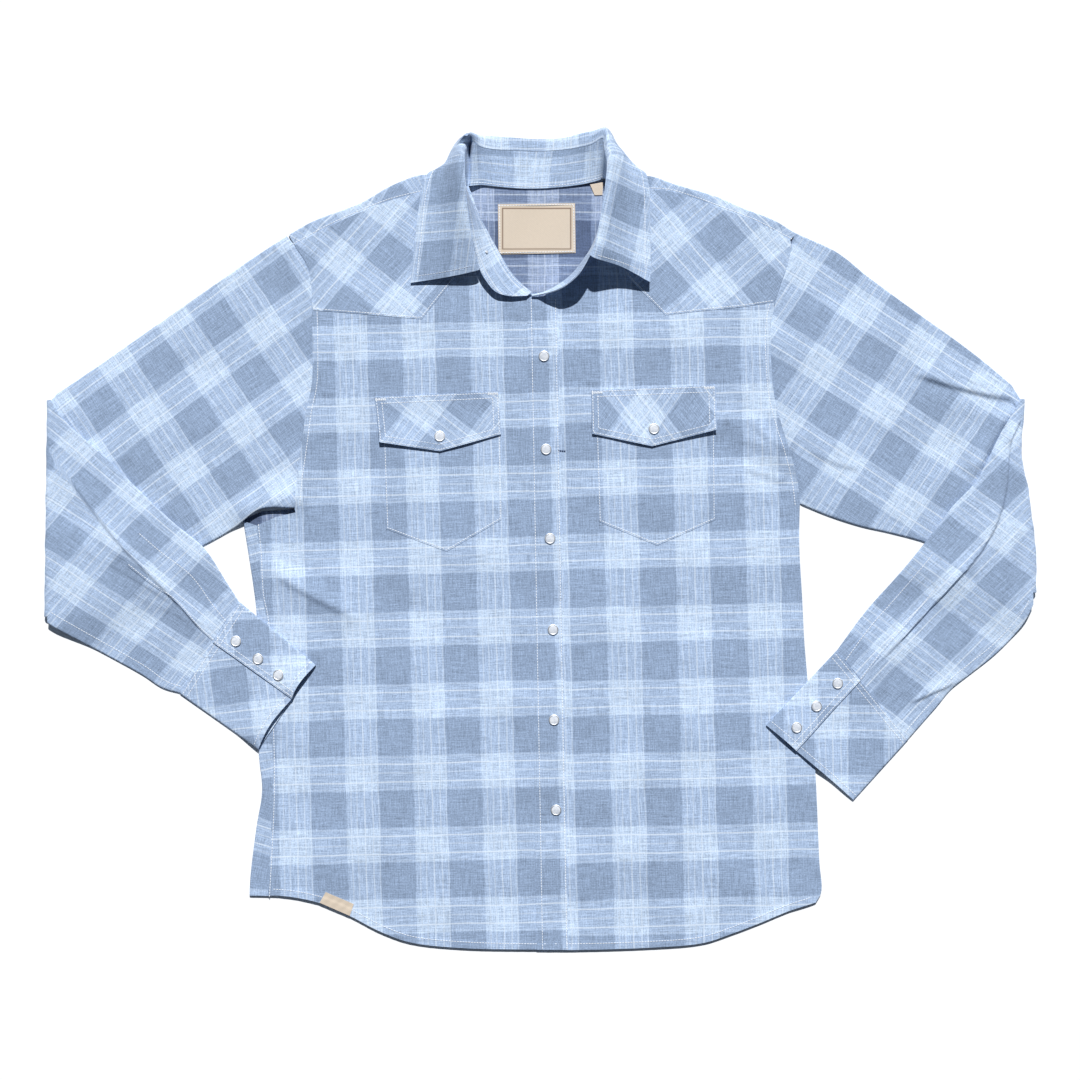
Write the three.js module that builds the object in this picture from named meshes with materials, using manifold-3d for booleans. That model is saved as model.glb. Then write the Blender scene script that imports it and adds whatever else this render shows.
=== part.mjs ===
// Western snap shirt in plaid cotton, laid flat on its back with both sleeves folded at the elbow.
// Millimetres, +Z up. The shirt lies face up: +X is the viewer's right, +Y is towards the collar.
// "left" and "right" in the names are the viewer's left and right of the laid shirt.
//
// The lay tables give places in millimetres on the laying table: x runs to the right and y runs
// down towards the hem, from a corner mark; at() turns such a place into the model's frame.

import * as THREE from "three";
import { mergeVertices } from "three/addons/utils/BufferGeometryUtils.js";
import Module from "manifold-3d";

const wasm = await Module();
wasm.setup();

// Driving sizes
const WALL = 1.2; // thickness of one layer of cloth
const GAP = 0.3; // clearance between layers and along seams
const PITCH = WALL + GAP; // rise from one layer to the next
const MARK = { x: 540, y: 539.5 }; // middle of the lay, from the corner mark
const FLOOR_MID = WALL / 2; // middle of a layer that lies on the surface
const BODY_LOFT = 2.0; // how far the middle of the front stands above its pressed edges
const SNAP_DIAMETER = 11;
const SNAP_HEIGHT = 2.6;
const SNAP_SIDES = 10;
const PLACKET_SLANT = { x: 544, y: 356, lean: 0.0265 }; // centre line of the front band
const SHOULDER_STEPS = 12; // stretches along each shoulder seam
const YOKE_SEAM_Y = 330; // straight seam between back yoke and back
const LABEL_WALL = 0.7;
const RETURN_TURNS = 4; // stretches round a fold of the back or the back yoke
const RETURN_INSET = 2.2; // the flat cloth ends this far inside the outer edge of its fold
const LEAF_RISE = 1.0; // from the top of the collar stand to the start of the leaf

// Colours, roughness
const CLOTH = { color: 0x9fb3d2, roughness: 0.9, metalness: 0 };
const CLOTH_INSIDE = { color: 0x8493b3, roughness: 0.92, metalness: 0 };
const LABEL = { color: 0xe6d3b2, roughness: 0.85, metalness: 0 };
const PEARL = { color: 0xe9edf2, roughness: 0.25, metalness: 0.1 };

const at = (x, y, z = 0) => new THREE.Vector3(x - MARK.x, MARK.y - y, z);

function table(columns, rows) {
  return rows.map((row) => Object.fromEntries(columns.map((name, i) => [name, row[i]])));
}

// Outlines of the lay
const ARMHOLE_LEFT = table(["x", "y"], [
  [287, 236], [308, 267], [312, 308], [313, 343], [312, 384], [307, 408], [302, 445], [298, 475], [295, 507],
]);
const ARMHOLE_RIGHT = table(["x", "y"], [
  [795, 233], [788, 261], [779, 290], [771, 322], [771, 363], [774, 396], [781, 424], [790, 453], [797, 480],
  [800, 503],
]);
const SIDE_LEFT = table(["x", "y"], [
  [244.5, 525], [254, 586], [257, 613], [259, 750], [262.6, 790], [257, 826], [251, 875], [250, 895],
]);
const SIDE_SEAM_LEFT = table(["x", "y"], [
  [257, 525], [260, 556], [262, 594], [267, 620], [271, 700], [273, 780], [271, 840], [268, 895],
]);
const SIDE_RIGHT = table(["x", "y"], [
  [799.5, 505], [799, 544], [802, 599], [804, 640], [807, 676], [815, 771], [819, 860], [821, 891],
  [815.5, 901.5],
]);
const HEM = table(["x", "y"], [
  [250, 895], [283, 895], [320, 902], [352, 916], [377, 929], [409, 941], [461, 947], [560, 949], [643, 947],
  [703, 942], [731, 933], [760, 922], [789, 910], [815.5, 901.5],
]);
const NECK_BACK = table(["x", "y"], [[468, 182], [494, 187], [535, 188.6], [576, 185.5], [606.5, 179.4]]);
const NECK_LEFT = table(["x", "y"], [
  [468, 184], [484, 226], [500, 256], [516, 278], [531, 292], [542, 297],
]);
const NECK_RIGHT = table(["x", "y"], [
  [606, 182], [602, 214], [597, 234], [588, 254], [563, 282], [542, 297],
]);
const SHOULDER_LEFT = table(["x", "y"], [
  [287, 236], [314, 221], [343, 210], [363, 202], [392, 185.5], [424, 174.5], [446, 179], [466, 181],
]);
const SHOULDER_RIGHT = table(["x", "y"], [
  [795, 233], [773, 220], [740, 207], [720, 198], [674, 184], [649, 176], [628, 178], [608, 179.4],
]);
const SHOULDER_SEAM_LEFT = table(["x", "y"], [
  [295, 245], [331, 225.5], [363, 211], [392, 200], [420, 193], [445, 188], [467, 184],
]);
const SHOULDER_SEAM_RIGHT = table(["x", "y"], [
  [790, 240], [756, 222], [720, 208], [687, 196], [669, 191], [640, 189], [607, 184],
]);

// Soft folds of the front: a ridge, or a trough where the height is negative, along a straight run
const BODY_FOLDS = table(["x0", "y0", "x1", "y1", "width", "height"], [
  [272, 568, 345, 616, 11, 2.2],
  [262, 548, 300, 566, 9, -0.9],
  [730, 418, 790, 462, 11, 2.0],
  [716, 444, 786, 486, 13, -0.8],
  [300, 700, 330, 880, 22, 1.2],
  [765, 800, 778, 880, 18, 1.1],
]);

function lerp(a, b, t) {
  return a + (b - a) * t;
}

// A soft rise from 0 at one value to 1 at another, which may lie on either side of it
function ramp(from, to, value) {
  if (from < to) return THREE.MathUtils.smoothstep(value, from, to);
  return 1 - THREE.MathUtils.smoothstep(value, to, from);
}

// Distance in the lay from (x, y) to a straight run
function distanceToRun(x, y, run) {
  const dx = run.x1 - run.x0;
  const dy = run.y1 - run.y0;
  const t = THREE.MathUtils.clamp(((x - run.x0) * dx + (y - run.y0) * dy) / (dx * dx + dy * dy), 0, 1);
  return Math.hypot(x - run.x0 - t * dx, y - run.y0 - t * dy);
}

// Height that a table's folds add at a place in the lay
function foldHeight(folds, x, y) {
  let height = 0;
  for (const fold of folds) {
    height += fold.height * Math.exp(-((distanceToRun(x, y, fold) / fold.width) ** 2));
  }
  return height;
}

// Height of the middle of the front cloth at a place in the lay
function frontHeight(x, y) {
  const across = ramp(268, 360, x) * ramp(815, 725, x);
  const along = ramp(240, 330, y) * ramp(925, 850, y);
  const height = FLOOR_MID + PITCH + BODY_LOFT * across * along + foldHeight(BODY_FOLDS, x, y);
  return Math.max(height, FLOOR_MID + PITCH);
}

// Curves through lay places, evenly spaced along their length
function smooth(places, steps) {
  const curve = new THREE.CatmullRomCurve3(places.map((p) => at(p.x, p.y)), false, "centripetal");
  return curve.getSpacedPoints(steps);
}

function polyline(places) {
  return places.map(([x, y]) => at(x, y));
}

const reversed = (points) => [...points].reverse();

// A closed solid from rows of points; "loop" joins the last column to the first, and "upright" gives
// the thickness straight up instead of square to the surface
function wall(rows, { thickness = WALL, loop = false, upright = false } = {}) {
  const count = rows.length;
  const width = rows[0].length;
  const half = thickness / 2;
  const position = [];
  for (const side of [1, -1]) {
    for (let i = 0; i < count; i += 1) {
      for (let j = 0; j < width; j += 1) {
        const before = rows[Math.max(i - 1, 0)][j];
        const after = rows[Math.min(i + 1, count - 1)][j];
        const left = rows[i][loop ? (j + width - 1) % width : Math.max(j - 1, 0)];
        const right = rows[i][loop ? (j + 1) % width : Math.min(j + 1, width - 1)];
        const normal = after.clone().sub(before).cross(right.clone().sub(left)).normalize();
        if (upright) normal.set(0, 0, 1);
        const p = rows[i][j].clone().addScaledVector(normal, side * half);
        position.push(p.x, p.y, p.z);
      }
    }
  }
  const index = [];
  const id = (side, i, j) => side * count * width + i * width + (j % width);
  const quad = (a, b, c, d) => index.push(a, b, c, a, c, d);
  const columns = loop ? width : width - 1;
  for (let i = 0; i < count - 1; i += 1) {
    for (let j = 0; j < columns; j += 1) {
      quad(id(0, i, j), id(0, i + 1, j), id(0, i + 1, j + 1), id(0, i, j + 1));
      quad(id(1, i, j), id(1, i, j + 1), id(1, i + 1, j + 1), id(1, i + 1, j));
    }
  }
  for (let j = 0; j < columns; j += 1) {
    quad(id(0, 0, j), id(0, 0, j + 1), id(1, 0, j + 1), id(1, 0, j));
    quad(id(0, count - 1, j + 1), id(0, count - 1, j), id(1, count - 1, j), id(1, count - 1, j + 1));
  }
  if (!loop) {
    for (let i = 0; i < count - 1; i += 1) {
      quad(id(0, i + 1, 0), id(0, i, 0), id(1, i, 0), id(1, i + 1, 0));
      quad(id(0, i, width - 1), id(0, i + 1, width - 1), id(1, i + 1, width - 1), id(1, i, width - 1));
    }
  }
  const geometry = new THREE.BufferGeometry();
  geometry.setAttribute("position", new THREE.Float32BufferAttribute(position, 3));
  geometry.setIndex(index);
  return facingOut(geometry);
}

function signedVolume(geometry) {
  const p = geometry.getAttribute("position");
  const index = geometry.getIndex();
  const [a, b, c] = [new THREE.Vector3(), new THREE.Vector3(), new THREE.Vector3()];
  let volume = 0;
  for (let k = 0; k < index.count; k += 3) {
    a.fromBufferAttribute(p, index.getX(k));
    b.fromBufferAttribute(p, index.getX(k + 1));
    c.fromBufferAttribute(p, index.getX(k + 2));
    volume += a.dot(b.cross(c)) / 6;
  }
  return volume;
}

function facingOut(geometry) {
  if (signedVolume(geometry) < 0) {
    const index = geometry.getIndex();
    for (let k = 0; k < index.count; k += 3) {
      const second = index.getX(k + 1);
      index.setX(k + 1, index.getX(k + 2));
      index.setX(k + 2, second);
    }
  }
  return geometry;
}

// Joining and cutting
function toSolid(geometry) {
  const bare = geometry.clone();
  bare.deleteAttribute("normal");
  bare.deleteAttribute("uv");
  const merged = mergeVertices(bare, 1e-4);
  return new wasm.Manifold(new wasm.Mesh({
    numProp: 3,
    vertProperties: new Float32Array(merged.getAttribute("position").array),
    triVerts: new Uint32Array(merged.getIndex().array),
  }));
}

function toGeometry(solid) {
  const mesh = solid.getMesh();
  const geometry = new THREE.BufferGeometry();
  geometry.setAttribute("position", new THREE.Float32BufferAttribute(mesh.vertProperties, 3));
  geometry.setIndex([...mesh.triVerts]);
  return geometry;
}

// Grid lines of the panels, closer together where the folds are
function gridLines(stretches) {
  const lines = [];
  for (const { from, to, step } of stretches) {
    const count = Math.max(1, Math.round((to - from) / step));
    for (let k = 0; k < count; k += 1) lines.push(lerp(from, to, k / count));
  }
  lines.push(stretches[stretches.length - 1].to);
  return lines;
}

const PANEL_X = gridLines(table(["from", "to", "step"], [
  [236, 366, 14], [366, 700, 56], [700, 832, 16],
]));
const PANEL_Y = gridLines(table(["from", "to", "step"], [
  [160, 240, 40], [240, 330, 30], [330, 400, 35], [400, 640, 16], [640, 850, 52], [850, 965, 28],
]));

// A flat prism over an outline in the model's frame
function prism(outline) {
  const shape = new THREE.Shape(outline.map((p) => new THREE.Vector2(p.x, p.y)));
  const geometry = new THREE.ExtrudeGeometry(shape, { depth: 60, bevelEnabled: false, curveSegments: 1 });
  geometry.translate(0, 0, -5);
  return toSolid(geometry);
}

// A panel with the given outline, following a height over the lay
function panel(outline, height, { thickness = WALL, xs = PANEL_X, ys = PANEL_Y } = {}) {
  const rows = ys.map((y) => xs.map((x) => at(x, y, height(x, y))));
  const slab = toSolid(wall(rows, { thickness, upright: true }));
  return toGeometry(slab.intersect(prism(outline)));
}

const layer = (level) => (x, y) => frontHeight(x, y) + level * PITCH;
const COARSE_X = gridLines([{ from: 236, to: 832, step: 300 }]);
const COARSE_Y = gridLines([{ from: 160, to: 965, step: 410 }]);
const onFloor = { xs: COARSE_X, ys: COARSE_Y };

// The cloth of a back piece that folds over an outer edge of the shirt and comes up to a seam on the front
function returnStrip(edge, seam, reach, steps) {
  const outer = smooth(edge, steps);
  const inner = smooth(seam, steps);
  const radius = PITCH / 2;
  const rows = outer.map((o, i) => {
    const top = inner[i];
    const inward = top.clone().sub(o).setZ(0);
    const length = inward.length();
    inward.normalize();
    const centre = o.clone().addScaledVector(inward, radius + WALL / 2).setZ(FLOOR_MID + radius);
    const row = [];
    const start = top.clone().addScaledVector(inward, -GAP);
    row.push(start.setZ(FLOOR_MID + PITCH));
    if (length > 6) row.push(centre.clone().addScaledVector(inward, 1.5).setZ(FLOOR_MID + PITCH));
    else row.push(start.clone().lerp(centre, 0.5).setZ(FLOOR_MID + PITCH));
    for (let k = 0; k <= RETURN_TURNS; k += 1) {
      const angle = (Math.PI * k) / RETURN_TURNS;
      const p = centre.clone().addScaledVector(inward, -radius * Math.sin(angle));
      row.push(p.setZ(centre.z + radius * Math.cos(angle)));
    }
    row.push(centre.clone().addScaledVector(inward, reach).setZ(FLOOR_MID));
    return row;
  });
  return toSolid(wall(rows));
}

// Body
const slant = (y, offset = 0) => PLACKET_SLANT.x + (y - PLACKET_SLANT.y) * PLACKET_SLANT.lean + offset;
const hemLeft = HEM.filter((p) => p.x < 556);
const hemRight = HEM.filter((p) => p.x > 556);

// Shares of the way across a flattened sleeve, from the shoulder edge to the underarm edge, at which a
// section has its points; the armholes of the panels use the same shares, so the edges match
const ACROSS = [0.014, 0.06, 0.16, 0.3, 0.44, 0.58, 0.72, 0.85, 0.945, 0.986];

function armholeCurve(side) {
  const places = side === "left" ? ARMHOLE_LEFT : ARMHOLE_RIGHT;
  return new THREE.CatmullRomCurve3(places.map((p) => new THREE.Vector3(p.x, p.y, 0)), false, "centripetal");
}

// The panels' edge along an armhole, a seam's clearance inside the sleeve's end
function armholeEdge(side) {
  const curve = armholeCurve(side);
  const inward = side === "left" ? GAP : -GAP;
  return [0, ...ACROSS, 1].map((share) => {
    const p = curve.getPointAt(share);
    return at(p.x + inward, p.y);
  });
}

const armholeLeft = armholeEdge("left");
const armholeRight = armholeEdge("right");

function armholePart(points, fromY, toY) {
  return points.filter((p) => MARK.y - p.y > fromY && MARK.y - p.y < toY);
}

function buildBack() {
  const left = armholePart(armholeLeft, YOKE_SEAM_Y + 4, 520);
  const right = armholePart(armholeRight, YOKE_SEAM_Y + 4, 520);
  const sideLeft = smooth(SIDE_LEFT, 12).map((p) => p.clone().add(new THREE.Vector3(RETURN_INSET, 0, 0)));
  const sideRight = smooth(SIDE_RIGHT, 12);
  const outline = [
    at(313, YOKE_SEAM_Y + GAP), ...left, at(297, 514), at(262, 519), ...sideLeft,
    ...smooth(HEM, 28).slice(1), ...reversed(sideRight).slice(1), ...reversed(right),
    at(770.5, YOKE_SEAM_Y + GAP),
  ];
  const flat = toSolid(panel(outline, () => FLOOR_MID, onFloor));
  return toGeometry(flat.add(returnStrip(SIDE_LEFT, SIDE_SEAM_LEFT, 14, 16)));
}

function buildBackYoke() {
  const left = armholePart(armholeLeft, 246, YOKE_SEAM_Y - 4);
  const right = armholePart(armholeRight, 246, YOKE_SEAM_Y - 4);
  const inner = new THREE.Vector3(0, -RETURN_INSET, 0);
  const shoulderLeft = smooth(SHOULDER_LEFT, SHOULDER_STEPS).map((p) => p.clone().add(inner));
  const shoulderRight = smooth(SHOULDER_RIGHT, SHOULDER_STEPS).map((p) => p.clone().add(inner));
  const outline = [
    ...shoulderLeft.slice(1, -1), ...smooth(NECK_BACK, 10), ...reversed(shoulderRight).slice(1, -1),
    ...right, at(770.5, YOKE_SEAM_Y - GAP), at(313, YOKE_SEAM_Y - GAP), ...reversed(left),
  ];
  const flat = toSolid(panel(outline, () => FLOOR_MID, onFloor));
  const stripLeft = returnStrip(SHOULDER_LEFT, SHOULDER_SEAM_LEFT, 9, SHOULDER_STEPS);
  const stripRight = returnStrip(SHOULDER_RIGHT, SHOULDER_SEAM_RIGHT, 9, SHOULDER_STEPS);
  return toGeometry(flat.add(stripLeft).add(stripRight));
}

function frontOutline(side) {
  const bottom = HEM.find((p) => p.x === 560);
  if (side === "left") {
    return [
      ...smooth(NECK_LEFT, 8).slice(0, -1), at(slant(297, -0.5), 297), at(slant(948.5, -0.5), 948.5),
      ...reversed(smooth([...hemLeft.slice(1), { x: slant(949), y: 948.8 }], 20)).slice(1),
      ...reversed(smooth(SIDE_SEAM_LEFT, 12)), at(274, 516.5), at(297, 514.5),
      ...reversed(armholeLeft).slice(1, -2), ...smooth(SHOULDER_SEAM_LEFT, SHOULDER_STEPS),
    ];
  }
  return [
    ...smooth(NECK_RIGHT, 8).slice(0, -1), at(slant(297, 0.5), 297), at(slant(948.5, 0.5), 949),
    ...smooth([{ x: slant(949, 4), y: bottom.y }, ...hemRight.slice(1)], 18),
    ...reversed(smooth(SIDE_RIGHT, 12)).slice(1),
    ...reversed(armholeRight).slice(1, -2), ...smooth(SHOULDER_SEAM_RIGHT, SHOULDER_STEPS),
  ];
}

function yokeOutline(side) {
  if (side === "left") {
    return [
      ...polyline([[488, 236], [447, 288], [422, 319], [363, 314], [313.6, 310]]),
      ...reversed(armholePart(armholeLeft, 250, 305)), ...smooth(SHOULDER_SEAM_LEFT, SHOULDER_STEPS),
      ...smooth(NECK_LEFT, 8).slice(1, 4),
    ];
  }
  return [
    ...polyline([[596, 238], [632, 281], [665, 315], [700, 311], [740, 307], [773, 302]]),
    ...reversed(armholePart(armholeRight, 250, 298)), ...smooth(SHOULDER_SEAM_RIGHT, SHOULDER_STEPS),
    ...smooth(NECK_RIGHT, 8).slice(1, 4),
  ];
}

// Chest pockets with pointed flaps: corners in the lay, going round
const POCKETS = {
  left: [[382, 402], [386.5, 528.5], [447, 551], [502, 519], [501, 396]],
  right: [[594.5, 395], [598.5, 521], [657, 545], [715.5, 519], [714.5, 390]],
};
const FLAPS = {
  left: {
    corners: [[375, 397], [499, 391], [501, 434], [440, 451], [380, 442]],
    lifted: { x: 380, y: 442 },
  },
  right: {
    corners: [[591, 390], [715, 385], [716, 429.5], [652, 446], [592, 433.5]],
    lifted: { x: 716, y: 429.5 },
  },
};
const FLAP_LIFT = 2.6; // height of the loose corner above the pocket
const FLAP_LIFT_REACH = 34;
const FLAP_SLOPE_ROOM = 0.25; // clears the flap's slope under its snap

function flapHeight(lifted) {
  return (x, y) => {
    const away = Math.hypot(x - lifted.x, y - lifted.y) / FLAP_LIFT_REACH;
    return layer(2)(x, y) + FLAP_LIFT * Math.max(0, 1 - away) ** 1.5;
  };
}

function buildFlap({ corners, lifted }) {
  const xs = gridLines([{ from: corners[0][0] - 8, to: corners[1][0] + 12, step: 16 }]);
  const ys = gridLines([{ from: corners[1][1] - 8, to: corners[3][1] + 8, step: 12 }]);
  return panel(polyline(corners), flapHeight(lifted), { xs, ys });
}

const PLACKET = [[527, 299], [531, 296.5], [545, 296], [557.2, 289], [568.5, 948.8], [536.6, 948.6]];

// Sleeves. Each is one flattened tube from the armhole, folded over at the elbow and on to the cuff.
// Rows: the edge that starts at the shoulder (a) and the edge that starts under the arm (b).
const UPPER_ARM = {
  left: table(["ax", "ay", "bx", "by", "loft"], [
    [287, 236, 295, 507, 0.6],
    [255, 257, 262, 508, 1.4],
    [220, 281, 236, 526, 2.2],
    [180, 309, 203, 545, 2.4],
    [140, 337, 160, 565, 2.0],
    [100, 365, 115, 585, 1.4],
    [72, 384, 75, 603, 0.8],
    [58, 393, 56, 611, 0.2],
  ]),
  right: table(["ax", "ay", "bx", "by", "loft"], [
    [795, 233, 800, 503, 0.6],
    [836, 252, 829, 515, 1.4],
    [866, 275.5, 860, 525, 2.2],
    [895, 297, 891, 532, 2.4],
    [924, 318, 924, 541, 2.0],
    [955, 340, 965, 557, 1.6],
    [985, 363, 1000, 574, 1.0],
    [1011, 385, 1022, 588, 0.2],
  ]),
};
const ELBOW = {
  left: { ax: 47.5, ay: 400, bx: 44.8, by: 616, out: -1 },
  right: { ax: 1024.5, ay: 399, bx: 1035.5, by: 592, out: 1 },
};
const FOREARM = {
  left: table(["ax", "ay", "bx", "by", "loft"], [
    [60, 414, 49, 622, 0.3],
    [75, 430, 57, 627, 0.8],
    [100, 451, 70, 634, 1.5],
    [139, 489, 92, 646, 2.2],
    [175, 523, 118, 660, 2.6],
    [205, 548, 143, 674, 2.4],
    [226, 581, 163, 687, 1.8],
    [238.6, 601, 180, 692, 1.2],
  ]),
  right: table(["ax", "ay", "bx", "by", "loft"], [
    [1014, 412, 1031.5, 604, 0.3],
    [1003, 430, 1024, 620, 0.8],
    [990, 453, 1012, 636, 1.5],
    [975, 481, 994, 654, 2.2],
    [951, 507, 970, 673, 2.6],
    [926, 540, 951, 688, 2.6],
    [895, 578, 936, 706, 2.2],
    [865, 612, 921, 723, 1.6],
    [837, 650, 908, 738, 1.2],
  ]),
};
const TUBE_EDGE = 1.8; // distance between the two layers beside the long folds of a sleeve
const ELBOW_RADIUS = 2.8; // from the middle of the elbow fold to the middle of the tube
const ELBOW_TURNS = 6;

// Lower edges of the upper arms, which the forearms lie across
const UNDER_EDGE = {
  left: { x0: 250, y0: 521, x1: 45, y1: 619 },
  right: { x0: 820, y0: 512, x1: 1036, y1: 598 },
};

// How much room the forearm needs below it: the upper arm near the elbow, the body at the cuff
function support(side, x, y) {
  const edge = UNDER_EDGE[side];
  const dx = edge.x1 - edge.x0;
  const dy = edge.y1 - edge.y0;
  const beyond = ((y - edge.y0) * dx - (x - edge.x0) * dy) / Math.hypot(dx, dy) * (side === "left" ? -1 : 1);
  const onArm = 2 * ELBOW_RADIUS * ramp(52, 7, beyond);
  const bodySide = side === "left" ? ramp(200, 238, x) : ramp(866, 828, x);
  const inside = side === "left" ? ramp(262, 330, x) : ramp(806, 740, x);
  const onBody = bodySide * (2 * PITCH + 0.4 + inside * 1.9);
  return FLOOR_MID + Math.max(onArm, onBody);
}

// Creases pressed into the sleeves' upper sides
const SLEEVE_FOLDS = {
  left: table(["x0", "y0", "x1", "y1", "width", "height"], [
    [58, 470, 122, 549, 9, 1.2],
    [122, 549, 205, 632, 9, 1.4],
    [196, 330, 262, 300, 14, 0.9],
  ]),
  right: table(["x0", "y0", "x1", "y1", "width", "height"], [
    [1012, 404, 926, 380, 10, -1.0],
    [996, 418, 930, 398, 11, 1.2],
    [1009, 470, 968, 564, 9, 1.2],
    [968, 564, 880, 664, 9, 1.3],
    [953, 684, 930, 692, 8, 0.9],
  ]),
};

// One ring of a sleeve: down the side that starts below, and back along the side that starts above
function sleeveRing(side, row, place, low) {
  const under = [];
  const over = [];
  for (const s of ACROSS) {
    const p = place(s);
    const room = TUBE_EDGE + row.loft * Math.sin(Math.PI * s);
    const bottom = low(p.x, p.y);
    const crease = foldHeight(SLEEVE_FOLDS[side], p.x, p.y) * Math.sin(Math.PI * s) ** 0.5;
    under.push(at(p.x, p.y, bottom));
    over.push(at(p.x, p.y, bottom + room + Math.max(crease, -room + PITCH)));
  }
  const [a, b] = [place(0), place(1)];
  const edgeA = at(a.x, a.y, low(a.x, a.y) + TUBE_EDGE / 2);
  const edgeB = at(b.x, b.y, low(b.x, b.y) + TUBE_EDGE / 2);
  return { edgeA, edgeB, under, over };
}

function sleeveRows(side) {
  const curve = armholeCurve(side);
  const out = ELBOW[side].out;
  const rows = [];
  const fade = [1, 0.62, 0.25, 0.06];
  UPPER_ARM[side].forEach((row, i) => {
    const bend = fade[i] ?? 0;
    const place = (s) => {
      const first = UPPER_ARM[side][0];
      const onCurve = curve.getPointAt(s);
      const shiftX = onCurve.x - lerp(first.ax, first.bx, s) + (i === 0 ? out * GAP : 0);
      const shiftY = onCurve.y - lerp(first.ay, first.by, s);
      return { x: lerp(row.ax, row.bx, s) + bend * shiftX, y: lerp(row.ay, row.by, s) + bend * shiftY };
    };
    const ring = sleeveRing(side, row, place, () => FLOOR_MID);
    rows.push([ring.edgeA, ...ring.under, ring.edgeB, ...reversed(ring.over)]);
  });
  const fold = ELBOW[side];
  const half = TUBE_EDGE / 2;
  const axisZ = FLOOR_MID + half + ELBOW_RADIUS;
  const reach = ELBOW_RADIUS + half + WALL / 2;
  for (let k = 0; k <= ELBOW_TURNS; k += 1) {
    const angle = (Math.PI * k) / ELBOW_TURNS;
    const point = (s, radius) => at(
      lerp(fold.ax, fold.bx, s) - fold.out * reach + fold.out * radius * Math.sin(angle),
      lerp(fold.ay, fold.by, s),
      axisZ - radius * Math.cos(angle),
    );
    rows.push([
      point(0, ELBOW_RADIUS), ...ACROSS.map((s) => point(s, ELBOW_RADIUS + half)),
      point(1, ELBOW_RADIUS), ...reversed(ACROSS.map((s) => point(s, ELBOW_RADIUS - half))),
    ]);
  }
  for (const row of FOREARM[side]) {
    const place = (s) => ({ x: lerp(row.ax, row.bx, s), y: lerp(row.ay, row.by, s) });
    const ring = sleeveRing(side, row, place, (x, y) => support(side, x, y));
    rows.push([ring.edgeA, ...ring.over, ring.edgeB, ...reversed(ring.under)]);
  }
  return rows;
}

// Cuffs: a band that goes once round the sleeve's end and laps over itself on the top
const CUFF = {
  left: {
    seam: { ax: 239.4, ay: 601.6, bx: 180.8, by: 692.8 },
    end: { ax: 316, ay: 664.5, bx: 259, by: 748 },
    lapSeam: 0.44,
    lapEnd: 0.4,
    drawn: 3.5,
  },
  right: {
    seam: { ax: 836.4, ay: 650.8, bx: 907.4, by: 738.6 },
    end: { ax: 766, ay: 724.5, bx: 853, by: 799 },
    lapSeam: 0.33,
    lapEnd: 0.34,
    drawn: 0.8,
  },
};
const CUFF_UNDERLAP = 0.17; // share of the cuff's width that runs on below the lap
const CUFF_ROWS = 6;
const CUFF_GAPE = 1.9; // extra height of the open end

function cuffPlace(side, t, s) {
  const { seam, end } = CUFF[side];
  const start = { x: lerp(seam.ax, seam.bx, s), y: lerp(seam.ay, seam.by, s) };
  const stop = { x: lerp(end.ax, end.bx, s), y: lerp(end.ay, end.by, s) };
  const length = Math.hypot(stop.x - start.x, stop.y - start.y);
  const u = (GAP + t * (length - GAP)) / length;
  return { x: lerp(start.x, stop.x, u), y: lerp(start.y, stop.y, u) };
}

function cuffTop(side, t, s) {
  const p = cuffPlace(side, t, s);
  const puff = (1.2 + CUFF_GAPE * ramp(0.55, 1, t)) * Math.sin(Math.PI * s);
  return support(side, p.x, p.y) + TUBE_EDGE + puff;
}

function cuffRows(side) {
  const cuff = CUFF[side];
  const rows = [];
  for (let i = 0; i < CUFF_ROWS; i += 1) {
    const t = i / (CUFF_ROWS - 1);
    const lap = lerp(cuff.lapSeam, cuff.lapEnd, t);
    const drawn = (cuff.drawn / 100) * ramp(0.5, 1, t);
    const row = [];
    const top = (s, level) => {
      const p = cuffPlace(side, t - drawn * Math.sin(Math.PI * s) ** 0.5, s);
      row.push(at(p.x, p.y, cuffTop(side, t, s) + level * PITCH));
    };
    const bottom = (s) => {
      const p = cuffPlace(side, t, s);
      row.push(at(p.x, p.y, support(side, p.x, p.y)));
    };
    const edge = (s) => {
      const p = cuffPlace(side, t, s);
      row.push(at(p.x, p.y, support(side, p.x, p.y) + TUBE_EDGE / 2));
    };
    for (const share of [1, 0.75, 0.5, 0.25]) top(lap * share, ramp(0, 0.2, lap * share));
    top(0.03, 0);
    edge(0);
    for (const s of [0.03, 0.15, 0.35, 0.6, 0.85, 0.97]) bottom(s);
    edge(1);
    top(0.97, 0);
    for (const share of [0.2, 0.5, 0.8, 1]) top(lerp(0.97, lap - CUFF_UNDERLAP, share), 0);
    rows.push(row);
  }
  return rows;
}

// Sleeve plackets: narrow strips over the slit above each cuff, on the forearm
const SLEEVE_PLACKET = {
  left: { fromRow: 3, across: [0.2, 0.3, 0.43] },
  right: { fromRow: 4, across: [0.1, 0.16, 0.3, 0.335] },
};

// Height of a sleeve's upper layer on one of its forearm sections, straight between the section's points
function forearmTop(side, row, share) {
  const place = (s) => ({ x: lerp(row.ax, row.bx, s), y: lerp(row.ay, row.by, s) });
  const over = sleeveRing(side, row, place, (x, y) => support(side, x, y)).over;
  const next = ACROSS.findIndex((s) => s >= share);
  const part = (share - ACROSS[next - 1]) / (ACROSS[next] - ACROSS[next - 1]);
  return over[next - 1].clone().lerp(over[next], part);
}

function sleevePlacketRows(side) {
  const { fromRow, across } = SLEEVE_PLACKET[side];
  return FOREARM[side].slice(fromRow).map((row) => across.map((share) => {
    const p = forearmTop(side, row, share);
    return p.setZ(p.z + PITCH + GAP);
  }));
}

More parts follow.
